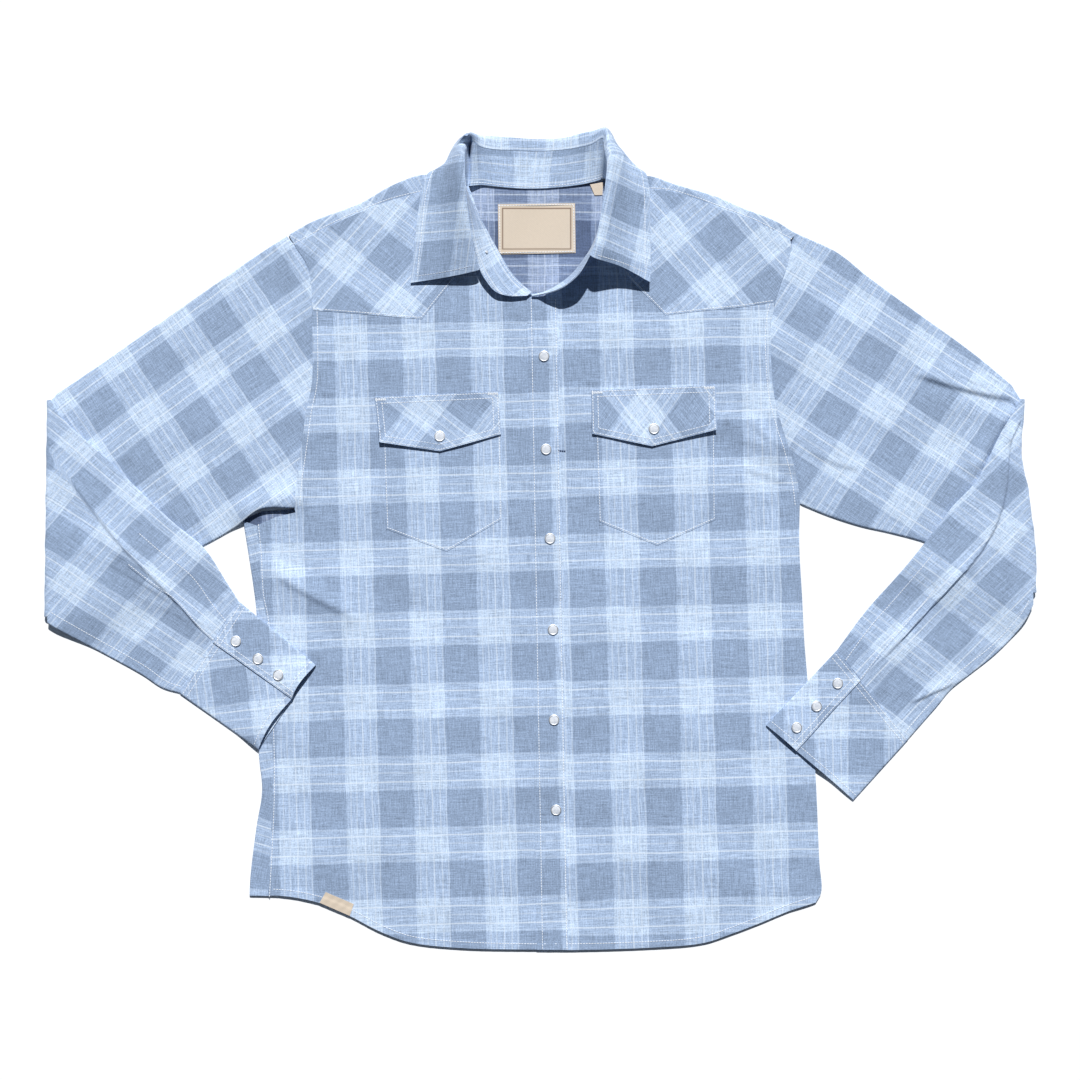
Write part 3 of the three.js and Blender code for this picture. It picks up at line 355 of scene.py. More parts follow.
def fold_height(folds, x, y):
    height = np.zeros(np.shape(x))
    for x0, y0, x1, y1, width, rise in folds:
        dx, dy = x1 - x0, y1 - y0
        t = np.clip(((x - x0) * dx + (y - y0) * dy) / (dx * dx + dy * dy), 0, 1)
        away = np.hypot(x - x0 - t * dx, y - y0 - t * dy)
        height += rise * np.exp(-((away / width) ** 2))
    return height


def pleat_height(pleats, x, y, edge=1.3):
    """Cloth that stands up along one side of a run and falls off sharply at it."""
    x, y = np.asarray(x, float), np.asarray(y, float)
    points = np.column_stack([x.ravel(), y.ravel()])
    height = np.zeros(len(points))
    for run, rise, reach in pleats:
        run = through(run, 14)
        _, place, along = nearest(points, run)
        off = ((points - place) * np.column_stack([-along[:, 1], along[:, 0]])).sum(axis=1)
        astray = np.abs(((points - place) * along).sum(axis=1))
        share = np.linalg.norm(place - run[0], axis=1) / np.linalg.norm(run[-1] - run[0])
        fade = ramp(0, 0.2, share) * ramp(1, 0.8, share) * ramp(6, 1, astray)
        height += rise * fade * ramp(-edge, edge, off) * np.exp(-np.maximum(off, 0) / reach)
    return height.reshape(x.shape)


def waves(x, y, shift=0.0):
    height = np.zeros(np.shape(x))
    for length, turn, phase, rise in WAVES:
        way = math.radians(turn)
        run = (x * math.cos(way) + y * math.sin(way)) * 2 * math.pi / length
        sway = 0.9 * np.sin((y * math.cos(way) - x * math.sin(way)) * 2 * math.pi / (length * 2.3) + phase * 2)
        height += rise * np.sin(run + phase + sway + shift)
    return height


HEM_RUN = through(HEM, 120)
ARMHOLE_RUN = {side: through(ARMHOLE[side], 100) for side in ARMHOLE}


def underarm_lift(part, x, y):
    run, reach, height = UNDERARM[part]
    gap = nearest(np.column_stack([np.ravel(x), np.ravel(y)]), run)[0]
    return (height * np.exp(-((gap / reach) ** 2))).reshape(np.shape(x))


def front_height(x, y):
    """Middle of the front's cloth over the laying surface."""
    x, y = np.asarray(x, float), np.asarray(y, float)
    across = ramp(268, 360, x) * ramp(815, 725, x)
    along = ramp(240, 330, y) * ramp(925, 850, y)
    height = FLOOR_MID + PITCH + BODY_LOFT * across * along + fold_height(BODY_FOLDS, x, y)
    soft = ramp(255, 285, x) * ramp(822, 795, x) * ramp(215, 260, y) * ramp(950, 925, y)
    fine = (fold_height(BODY_CREASES, x, y) + waves(x, y) + pleat_height(BODY_PLEATS, x, y, 3.4)) * soft
    points = np.column_stack([x.ravel(), y.ravel()])
    rise, pucker = np.zeros(len(points)), np.zeros(len(points))
    for run, width, lift in ((HEM_RUN, 6.5, 0.45), (ARMHOLE_RUN["left"], 8, 0.35), (ARMHOLE_RUN["right"], 8, 0.35)):
        gap = nearest(points, run[::3])[0]
        rise = np.maximum(rise, lift * ramp(width + 1.2, width - 0.6, gap))
        pucker += 0.16 * np.exp(-(((gap - width) / 6) ** 2)) * np.sin((points[:, 0] + points[:, 1]) * 0.55)
    band = np.abs(x.ravel() - PLACKET_LEAN[0] - (y.ravel() - PLACKET_LEAN[1]) * PLACKET_LEAN[2])
    pucker += 0.12 * np.exp(-(((band - 13) / 5) ** 2)) * np.sin(y.ravel() * 0.46 + 2 * np.sin(y.ravel() * 0.05))
    lift = underarm_lift("front", x, y) + (rise + pucker).reshape(x.shape)
    return np.maximum(height + fine, FLOOR_MID + PITCH) + SEAT + lift


def flap_height(side):
    corners, (lx, ly) = FLAPS[side]
    top = np.array([corners[0], corners[1]], float)

    def height(x, y):
        away = np.hypot(x - lx, y - ly) / FLAP_LIFT_REACH
        points = np.column_stack([np.ravel(x), np.ravel(y)])
        down = nearest(points, top)[0].reshape(np.shape(x))
        loose = 0.15 + 2.0 * ramp(12, 52, down) + 0.35 * np.sin(np.asarray(x) / 9.0) * ramp(25, 50, down)
        return front_height(x, y) + ON_TOP + (THIN + CLOTH) / 2 + loose + FLAP_LIFT * np.maximum(0, 1 - away) ** 1.5

    return height


def support(side, x, y):
    """Room that a forearm needs below it: the upper arm near the elbow, the body at the cuff."""
    x0, y0, x1, y1 = UNDER_EDGE[side]
    sign = -1 if side == "left" else 1
    beyond = ((y - y0) * (x1 - x0) - (x - x0) * (y1 - y0)) / math.hypot(x1 - x0, y1 - y0) * sign
    on_arm = 2 * ELBOW_RADIUS * ramp(52, 7, beyond)
    body = ramp(234, 261, x) if side == "left" else ramp(836, 810, x)
    if not np.any(body):
        return FLOOR_MID + on_arm
    return FLOOR_MID + np.maximum(on_arm, body * (front_height(x, y) + SEAT + 0.95 - FLOOR_MID))


# Sleeves and cuffs
HALF_EDGE = 0.8  # half the distance between the two layers beside a long fold
CUFF_HALF = 0.72


def edge_shares(width, count):
    """Shares across a flattened tube, close together where it turns round its two edges."""
    near = np.array([0, 0.05, 0.2, 0.5, 1.0]) * HALF_EDGE
    body = np.linspace(HALF_EDGE + 1.6, width - HALF_EDGE - 1.6, count)
    return np.concatenate([near, body, width - near[::-1]]) / width


def edge_round(shares, width):
    near = np.clip(np.minimum(shares, 1 - shares) * width / HALF_EDGE, 0, 1)
    return np.sqrt(1 - (1 - near) ** 2)


def arm_place(side, row, s):
    ax, ay, bx, by, _, bend = row
    x, y = ax + (bx - ax) * s, ay + (by - ay) * s
    run = ARMHOLE_RUN[side]
    shares = np.linspace(0, 1, len(run))
    x0, y0, x1, y1 = (*run[0], *run[-1])
    x = x + bend * (np.interp(s, shares, run[:, 0]) - (x0 + (x1 - x0) * s))
    y = y + bend * (np.interp(s, shares, run[:, 1]) - (y0 + (y1 - y0) * s))
    return x, y


def arm_layers(side, row, s, width, low, far=False):
    """Middles of the lower and upper layer of a sleeve section; the far half, the forearm, has sharp creases."""
    x, y = arm_place(side, row, s)
    g = edge_round(s, width)
    base = low(x, y) - SEAT
    arch = np.sin(np.pi * s)
    crease = fold_height(SLEEVE_FOLDS[side], x, y) + fold_height(SLEEVE_CREASES[side], x, y)
    crease = (crease + 1.1 * waves(x, y, 1.7)) * np.sqrt(np.maximum(arch, 0))
    sharp = pleat_height(SLEEVE_PLEATS[side], x, y) if far else pleat_height(UPPER_PLEATS[side], x, y, 2.6)
    crease = crease + sharp * np.minimum(1, 2 * np.sqrt(np.maximum(arch, 0)))
    lift = np.maximum(row[4] * arch + crease, -2 * HALF_EDGE + CLOTH + 0.15)
    lower = np.column_stack([x, y, base + HALF_EDGE * (1 - g)])
    upper = np.column_stack([x, y, base + HALF_EDGE * (1 + g) + lift * g])
    return lower, upper


ARM_COUNT = 96
UPPER_ROWS, ELBOW_ROWS, FOREARM_ROWS = 74, 13, 92


def forearm_sections(side, count=FOREARM_ROWS):
    return through(FOREARM[side], count)


@functools.lru_cache(None)
def sleeve_grid(side):
    """Rings of a sleeve from the armhole over the elbow to the cuff; also the row of the elbow's fold."""
    rings = []

    def ring(first, second):
        rings.append(np.vstack([first, second[-2:0:-1]]))

    sections = through(UPPER_ARM[side], UPPER_ROWS)
    out = ELBOW[side][4]
    for i, row in enumerate(sections):
        width = math.hypot(row[2] - row[0], row[3] - row[1])
        s = edge_shares(width, ARM_COUNT)
        lower, upper = arm_layers(side, row, s, width, lambda x, y: FLOOR_MID + underarm_lift("sleeve", x, y))
        # Towards the armhole the layers part to the body's thickness, which is more beside the front yoke
        part = ramp(28, 0, np.abs(lower[:, 0] - arm_place(side, sections[0], s)[0]))
        upper[:, 2] += part * (0.2 + 0.95 * ramp(0.36, 0.26, s)) * edge_round(s, width)
        if i == 0:
            tucked = upper.copy()
            tucked[:, 0] -= 2.2 * out * np.sqrt(np.sin(np.pi * s) + 1e-9)
            tucked[:, 2] -= 1.1 * edge_round(s, width)
            seam = lower.copy()
            seam[:, 0] += 0.15 * out
            ring(seam, tucked)
            continue
        ring(lower, upper)
    ax, ay, bx, by, _ = ELBOW[side]
    reach = ELBOW_RADIUS + TUBE_EDGE / 2 + WALL / 2
    axis = FLOOR_MID + TUBE_EDGE / 2 + ELBOW_RADIUS
    width = math.hypot(bx - ax, by - ay)
    s = edge_shares(width, ARM_COUNT)
    g = edge_round(s, width)
    pucker = 0.5 * np.sin(s * 31) * np.sin(np.pi * s) + 0.35 * np.sin(s * 57 + 1)
    for angle in np.linspace(0, math.pi, ELBOW_ROWS):
        sides = []
        for sign in (1, -1):
            radius = ELBOW_RADIUS + sign * HALF_EDGE * g
            swell = radius + pucker * math.sin(angle) ** 2 * (0.6 if sign > 0 else 0.3)
            x = ax + (bx - ax) * s + out * (swell * math.sin(angle) - reach)
            sides.append(np.column_stack([x, ay + (by - ay) * s, axis - radius * math.cos(angle)]))
        ring(*sides)
    fold_row = UPPER_ROWS + ELBOW_ROWS // 2
    for row in forearm_sections(side):
        width = math.hypot(row[2] - row[0], row[3] - row[1])
        s = edge_shares(width, ARM_COUNT)
        lower, upper = arm_layers(side, row, s, width, lambda x, y: support(side, x, y), True)
        ring(upper, lower)
    last, before = rings[-1], rings[-2]
    way = last[:, :2] - before[:, :2]
    way /= np.maximum(np.linalg.norm(way, axis=1), 1e-9)[:, None]
    tuck = last.copy()
    tuck[:, :2] += way * 2.0
    rings.append(tuck)
    grid = np.array(rings)
    if side == "right":
        # Below the right elbow's point the fold dips in, then swells out
        dip = 6.4 * np.exp(-(((grid[..., 1] - 452) / 33) ** 2)) - 2.4 * np.exp(-(((grid[..., 1] - 552) / 28) ** 2))
        grid[..., 0] -= dip * ramp(985, 1026, grid[..., 0])
    return grid, fold_row


def cuff_place(side, t, s):
    ax, ay, bx, by = CUFF[side]["seam"]
    cx, cy, dx, dy = CUFF[side]["end"]
    x0, y0 = ax + (bx - ax) * s, ay + (by - ay) * s
    x1, y1 = cx + (dx - cx) * s, cy + (dy - cy) * s
    return x0 + (x1 - x0) * t, y0 + (y1 - y0) * t


def cuff_layer(side, t, s, upper, level=0.0):
    """Middle of a cuff's lower or upper layer, t along the cuff and s across it."""
    s = np.asarray(s, float)
    width = math.dist(CUFF[side]["seam"][:2], CUFF[side]["seam"][2:])
    arch = np.sin(np.pi * np.clip(s, 0, 1))
    lap = CUFF[side]["lap"][1]
    share = np.where(s < lap, s / lap, (s - lap) / (1 - lap))
    lobes = np.sin(np.pi * np.clip(share, 0, 1) ** np.where(s < lap, 1, 1.5)) ** 0.7
    near, far = CUFF[side]["drawn"]
    drawn = np.where(s < lap, near, far) * ramp(0.5, 1, t) * (0.1 + 0.9 * lobes) * np.sqrt(arch) if upper else 0
    x, y = cuff_place(side, t - drawn, s)
    g = edge_round(np.clip(s, 0, 1), width)
    base = support(side, x, y) - SEAT + (DOUBLED - CLOTH) / 2
    if not upper:
        return np.column_stack([x, y, base + CUFF_HALF * (1 - g)])
    seam = ramp(0.6, 0, t)
    puff = (0.35 + 0.95 * seam) * arch + CUFF[side]["gape"] * ramp(0.55, 1, t) * (0.3 * arch + 1.1 * lobes)
    ripple = 0.25 * np.sin(s * 17 + 5 * t) * arch
    z = base + CUFF_HALF * (1 + g) + (puff + 0.1 + 0.3 * seam + ripple) * g + level
    return np.column_stack([x, y, z])


LAP_COLUMNS = 17


def lap_level(s, lap):
    """How far the lapping part of a cuff lies over the part beneath it, most at its edge."""
    return (DOUBLED + 0.1) * ramp(0, 0.2, s) + 0.35 * ramp(lap - 0.12, lap, s)


@functools.lru_cache(None)
def cuff_grid(side):
    rows = []
    width = math.dist(CUFF[side]["seam"][:2], CUFF[side]["seam"][2:])
    shares = edge_shares(width, 34)
    for t in np.linspace(0, 1, 26):
        lap0, lap1 = CUFF[side]["lap"]
        lap = lap0 + (lap1 - lap0) * t
        near = shares[:6][::-1]
        lapped = np.concatenate([np.linspace(lap, near[0] + 0.02, LAP_COLUMNS), near])
        over = cuff_layer(side, t, lapped, True, lap_level(lapped, lap))
        below = cuff_layer(side, t, shares[1:-1], False)
        under = np.concatenate([shares[-1:-7:-1], np.linspace(shares[-7], lap - CUFF_UNDERLAP, 16)])
        inner = cuff_layer(side, t, under, True)
        rows.append(np.vstack([over, below, inner]))
    return np.array(rows)


def forearm_top(side, along, share, lift=0.0):
    """Places on a forearm's upper layer, by how far along it and across it they are."""
    along, share = np.broadcast_arrays(np.asarray(along, float), np.asarray(share, float))
    sections = forearm_sections(side, 201)
    rows = np.column_stack([np.interp(along, np.linspace(0, 1, 201), column) for column in sections.T])
    out = []
    for row, s in zip(rows, share):
        width = math.hypot(row[2] - row[0], row[3] - row[1])
        _, upper = arm_layers(side, row, np.array([s]), width, lambda x, y: support(side, x, y), True)
        out.append(upper[0])
    return np.array(out) + [0, 0, lift]


@functools.lru_cache(None)
def sleeve_placket_grid(side):
    start, (first, last) = SLEEVE_PLACKET[side]
    rows = []
    for along in np.linspace(start, 1, 64):
        point = 0.06 * ramp(start + 0.05, start, along)
        shares = np.linspace(first + point, last - point, 24)
        rows.append(forearm_top(side, np.full(24, along), shares, ON_TOP + 0.12))
    return np.array(rows)


# Collar
@functools.lru_cache(None)
def stand_grid():
    rows = []
    for c in COLLAR:
        base, top = np.array(c[:3], float), np.array(c[3:6], float)
        rows.append(base + (top - base) * np.linspace(0, 1, 9)[:, None])
    return through(rows, 170)


@functools.lru_cache(None)
def leaf_grid():
    rows = []
    for c in COLLAR:
        if len(c) == 6:
            continue
        base, top = np.array(c[:3], float), np.array(c[3:6], float)
        start = top + (top - base) / np.linalg.norm(top - base) * 0.4
        rows.append(through([start, c[6:9], c[9:12], c[12:15]], 26))
    grid = through(rows, 150)
    grid[..., 2] = np.maximum(grid[..., 2], DOUBLED / 2)
    return grid


# From the lay to Blender
def lay_to_model(points):
    points = np.asarray(points, float)
    return np.column_stack([points[:, 0] - MARK[0], MARK[1] - points[:, 1], points[:, 2]])


def weave_place(grain, x, y):
    """Where a place of the lay falls in the cloth's own grain, in metres."""
    warp_turn, warp, warp_middle, weft_turn, weft, weft_middle = GRAIN[grain]
    a, b = math.radians(warp_turn), math.radians(weft_turn)
    u = (np.asarray(x) * math.cos(a) + np.asarray(y) * math.sin(a) - warp_middle) * REPEAT / warp
    v = (np.asarray(y) * math.cos(b) - np.asarray(x) * math.sin(b) - weft_middle) * REPEAT / weft
    return np.column_stack([u, -v]) / 1000


def vertex_normals(points, faces):
    a, b, c = points[faces[:, 0]], points[faces[:, 1]], points[faces[:, 2]]
    if faces.shape[1] == 4:
        d = points[faces[:, 3]]
        flat = np.cross(c - a, d - b)
    else:
        flat = np.cross(b - a, c - a)
    normals = np.zeros_like(points)
    for k in range(faces.shape[1]):
        np.add.at(normals, faces[:, k], flat)
    return normals / np.maximum(np.linalg.norm(normals, axis=1), 1e-12)[:, None]


def piece(name, points, faces, uv, materials, thickness=CLOTH, patches=()):
    """A closed shell of cloth round a surface: millimetres in the frame, first material on the faces' side.

    Each patch is a mask of faces and the grain that they follow instead."""
    n = len(points)
    normals = vertex_normals(points, faces)
    both = np.vstack([points + normals * thickness / 2, points - normals * thickness / 2]) / 1000
    ends = np.roll(faces, -1, axis=1)
    directed = np.column_stack([faces.ravel(), ends.ravel()])
    keys = directed[:, 0].astype(np.int64) * n + directed[:, 1]
    back = directed[:, 1].astype(np.int64) * n + directed[:, 0]
    rim = directed[~np.isin(back, keys)]
    sides = np.column_stack([rim[:, 1], rim[:, 0], rim[:, 0] + n, rim[:, 1] + n])
    every = [*faces.tolist(), *(faces[:, ::-1] + n).tolist(), *sides.tolist()]
    mesh = bpy.data.meshes.new(name)
    mesh.from_pydata(both.tolist(), [], every)
    corners = np.empty(len(mesh.loops), int)
    mesh.loops.foreach_get("vertex_index", corners)
    corner_uv = uv[corners % n]
    for chosen, patch_uv in patches:
        mask = np.zeros(len(corners), bool)
        mask[: 2 * faces.size] = np.repeat(np.tile(chosen, 2), faces.shape[1])
        corner_uv = np.where(mask[:, None], patch_uv[corners % n], corner_uv)
    mesh.uv_layers.new(name="weave").data.foreach_set("uv", corner_uv.astype(np.float32).ravel())
    slots = np.zeros(len(every), int)
    slots[len(faces): 2 * len(faces)] = len(materials) - 1
    mesh.polygons.foreach_set("material_index", slots)
    mesh.polygons.foreach_set("use_smooth", np.ones(len(every), bool))
    mesh.set_sharp_from_angle(angle=math.radians(48))
    mesh.update()
    obj = bpy.data.objects.new(name, mesh)
    bpy.context.scene.collection.objects.link(obj)
    for material in materials:
        mesh.materials.append(material)
    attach(obj, "root")
    return obj


def grid_faces(rows, columns, loop):
    i, j = np.meshgrid(np.arange(rows - 1), np.arange(columns if loop else columns - 1), indexing="ij")
    i, j = i.ravel(), j.ravel()
    k = (j + 1) % columns
    return np.column_stack([i * columns + j, (i + 1) * columns + j, (i + 1) * columns + k, i * columns + k])


def grid_piece(name, grid, uv, materials, up=None, loop=False, **more):
    """A shell over a grid of lay places, its first face turned the way that "up" says."""
    rows, columns = grid.shape[:2]
    points = lay_to_model(grid.reshape(-1, 3))
    faces = grid_faces(rows, columns, loop)
    normals = vertex_normals(points, faces)
    if up(points, normals) < 0:
        faces = faces[:, ::-1]
    return piece(name, points, faces, uv, materials, **more)


def lifted_path(grid, path, lift, loop=False, flip=1):
    """A run over a grid's surface, given in rows and columns, raised off its cloth."""
    rows, columns = grid.shape[:2]
    model = lay_to_model(grid.reshape(-1, 3))
    normals = vertex_normals(model, grid_faces(rows, columns, loop)).reshape(rows, columns, 3) * flip
    model = model.reshape(rows, columns, 3)
    r = np.clip([p[0] for p in path], 0, rows - 1)
    c = np.clip([p[1] for p in path], 0, columns - 1)
    i, j = np.minimum(r.astype(int), rows - 2), np.minimum(c.astype(int), columns - 2)
    fr, fc = (r - i)[:, None], (c - j)[:, None]

    def at(a):
        low = a[i, j] * (1 - fc) + a[i, j + 1] * fc
        high = a[i + 1, j] * (1 - fc) + a[i + 1, j + 1] * fc
        return low * (1 - fr) + high * fr

    return at(model) + at(normals) * lift


def panel_points(outline, spacing, folds=(), middle=None):
    """Points and triangles that fill an outline of the lay, with rows of points along folds across it."""
    rim = stepped(outline, spacing, closed=True)
    turn_rows = []
    if len(folds):
        rim = stepped(outline, 0.7, closed=True)
        corners = {tuple(np.round(p, 4)) for p in np.asarray(outline, float)}
        keep = np.arange(len(rim)) % max(1, round(spacing / 0.7)) == 0
        keep |= np.array([tuple(np.round(p, 4)) in corners for p in rim])
        for run in folds:
            depth = inward_of(extended(run), middle)(rim)[0]
            keep |= (depth > -2.6 * FOLD_RADIUS) & (depth < 1.4 * FOLD_RADIUS)
            line = stepped(through(extended(run), 400), 50)
            line = line[:: max(1, round(4.0 / (length_of(line) / len(line))))]
            _, place, inward = inward_of(extended(run), middle)(line + 1e-4)
            for angle in np.linspace(0, math.pi, 7):
                turn_rows.append(place + inward * FOLD_RADIUS * (1 - angle))
        rim = rim[keep]
    low, high = rim.min(axis=0), rim.max(axis=0)
    gx, gy = np.meshgrid(np.arange(low[0], high[0], spacing), np.arange(low[1], high[1], spacing * 0.866))
    gx[1::2] += spacing / 2
    fill = np.column_stack([gx.ravel(), gy.ravel()])
    fill = fill[inside(fill, rim)]
    for run in folds:
        depth = inward_of(extended(run), middle)(fill)[0]
        fill = fill[(depth > 2.6 * FOLD_RADIUS) | (depth < -3.8 * FOLD_RADIUS)]
    fill = fill[nearest(fill, np.vstack([rim, rim[:1]]))[0] > spacing * 0.55]
    if turn_rows:
        rows = np.vstack(turn_rows)
        rows = rows[inside(rows, rim)]
        fill = np.vstack([fill, rows[nearest(rows, np.vstack([rim, rim[:1]]))[0] > 0.35]])
    n = len(rim)
    places = [Vector(p) for p in np.vstack([rim, fill])]
    found = delaunay_2d_cdt(places, [(i, (i + 1) % n) for i in range(n)], [], 1, 1e-5)
    points = np.array([tuple(p) for p in found[0]])
    faces = np.array([f for f in found[2] if len(f) == 3])
    a, b, c = (points[faces[:, k]] for k in range(3))
    turn = (b - a)[:, 0] * (c - a)[:, 1] - (b - a)[:, 1] * (c - a)[:, 0]
    faces[turn > 0] = faces[turn > 0][:, ::-1]
    return points, faces[np.abs(turn) > 1e-9]


def panel(name, outline, height, grain, materials, spacing, thickness=CLOTH, folds=(), middle=None):
    """A cut panel of cloth that follows a height over the lay, or lies flat and wraps over folded edges."""
    flat, faces = panel_points(outline, spacing, folds, middle)
    uv = weave_place(grain, flat[:, 0], flat[:, 1])
    if height is None:
        lay = folded(flat, folds, middle)
    else:
        lay = np.column_stack([flat, height(flat[:, 0], flat[:, 1])])
    obj = piece(name, lay_to_model(lay), faces, uv, materials, thickness)
    return obj, outline_area(outline)


# Edges that a back piece folds over
def extended(run, reach=40):
    run = np.asarray(run, float)
    first, last = run[0] - run[1], run[-1] - run[-2]
    return np.vstack([
        run[0] + first / np.linalg.norm(first) * reach, run, run[-1] + last / np.linalg.norm(last) * reach,
    ])


def inward_of(run, middle):
    """For places near a run: how far inside they are and the way inwards, away from the outline."""

    def measure(points):
        gap, place, along = nearest(points, run)
        side = np.column_stack([-along[:, 1], along[:, 0]])
        flip = np.sign(((middle - place) * side).sum(axis=1))
        inward = side * flip[:, None]
        depth = ((points - place) * inward).sum(axis=1)
        return np.sign(depth) * gap, place, inward

    return measure


def unfolded(seam, run, middle):
    """Where the cloth of a seam beyond a folded edge lies before it is folded."""
    depth, place, inward = inward_of(extended(run), middle)(np.asarray(seam, float))
    beyond = depth + (math.pi - 2) * FOLD_RADIUS
    return place - inward * beyond[:, None]


def folded(flat, runs, middle):
    """Lay places of flat cloth whose part beyond each run is wrapped over on to the upper side."""
    lay = np.column_stack([flat, np.full(len(flat), CLOTH / 2)])
    for run in runs:
        depth, place, inward = inward_of(extended(run), middle)(flat)
        past = -(depth - FOLD_RADIUS)
        turning = (past > 0) & (past <= math.pi * FOLD_RADIUS) & (np.abs(depth) < 40)
        over = (past > math.pi * FOLD_RADIUS) & (np.abs(depth) < 40)
        angle = past / FOLD_RADIUS
        for mask, reach, height in (
            (turning, FOLD_RADIUS - FOLD_RADIUS * np.sin(angle), FOLD_RADIUS * (1 - np.cos(angle))),
            (over, FOLD_RADIUS + past - math.pi * FOLD_RADIUS, np.full(len(flat), 2 * FOLD_RADIUS)),
        ):
            lay[mask, :2] = (place + inward * reach[:, None])[mask]
            lay[mask, 2] = CLOTH / 2 + height[mask]
    return lay


def armhole_part(side, from_y, to_y, inset=0.0):
    run = ARMHOLE_RUN[side].copy()
    run[:, 0] += inset if side == "left" else -inset
    return run[(run[:, 1] > from_y) & (run[:, 1] < to_y)]


def front_outline(side):
    bottom = [p for p in HEM if (p[0] < 556) == (side == "left")]
    lean_x, lean_y, lean = PLACKET_LEAN
    top_x, low_x = lean_x + (297 - lean_y) * lean, lean_x + (948.5 - lean_y) * lean
    neck = through(NECK[side], 40)[:-1]
    arm = armhole_part(side, 246, 600)[::-1]
    shoulder = through(SHOULDER_SEAM[side], 60)
    if side == "left":
        hem = through([*bottom, (low_x, 948.8)], 90)[::-1]
        seam = through(SIDE_SEAM_LEFT, 90)[::-1]
        hem = hem[hem[:, 0] > 268.5]
        return np.vstack([neck, [(top_x, 297), (low_x, 948.8)], hem[1:], seam, [(276, 516.5), (296, 512)], arm, shoulder])
    hem = through([(low_x, 948.9), *bottom], 90)
    seam = through(SIDE_RIGHT, 90)[::-1]
    return np.vstack([neck, [(top_x, 297)], hem, seam[1:], arm, shoulder])


def yoke_outline(side):
    neck = through(NECK[side], 40)[3:19]
    shoulder = through(SHOULDER_SEAM[side], 60)
    top = 310 if side == "left" else 302
    arm = armhole_part(side, 248, top - 3, 0.4)[::-1]
    return np.vstack([YOKE_POINTS[side], arm, shoulder, neck])


# Materials
def linear(hex_colour):
    """An sRGB hex value as a linear colour."""
    value = hex_colour.lstrip("#")
    parts = [int(value[k: k + 2], 16) / 255 for k in (0, 2, 4)]
    return tuple(c / 12.92 if c <= 0.04045 else ((c + 0.055) / 1.055) ** 2.4 for c in parts) + (1.0,)


def add_node(tree, kind, settings=None, values=None, links=None, stops=None):
    """Adds a node with its settings, socket values, links into it and, on a ramp, its stops."""
    made = tree.nodes.new(kind)
    for key, value in (settings or {}).items():
        setattr(made, key, value)
    for key, value in (values or {}).items():
        made.inputs[key].default_value = value
    for key, source in (links or {}).items():
        tree.links.new(source, made.inputs[key])
    if stops:
        elements = made.color_ramp.elements
        while len(elements) > 1:
            elements.remove(elements[-1])
        elements[0].position, elements[0].color = stops[0]
        for position, colour in stops[1:]:
            elements.new(position).color = colour
    return made


def new_material(name):
    material = bpy.data.materials.new(name)
    material.use_nodes = True
    tree = material.node_tree
    tree.nodes.clear()
    return material, tree


GREY = lambda v: (v, v, v, 1.0)
BAND = 17.0  # half the width of a light band
WARP_LINES = [(-12, 0.4), (-6, 0.4), (1.8, 0.65), (10, 0.5), (16.4, 0.35)]
WEFT_LINES = [(-8.7, 0.85), (0.2, 0.4), (8.8, 0.85), (-15.5, 0.2), (15.6, 0.2)]


def band_stops(edge=0.5):
    low, high = 0.5 - BAND / REPEAT, 0.5 + BAND / REPEAT
    soft = edge / REPEAT
    return [(0.0, GREY(0)), (low - soft, GREY(0)), (low + soft, GREY(1)), (high - soft, GREY(1)), (high + soft, GREY(0))]


def line_stops(lines):
    stops = [(0.0, GREY(0))]
    for place, strength in sorted(lines):
        for off, share in ((-0.95, 0), (-0.4, 1), (0.4, 1), (0.95, 0)):
            stops.append((0.5 + (place + off) / REPEAT, GREY(strength * share)))
    return stops


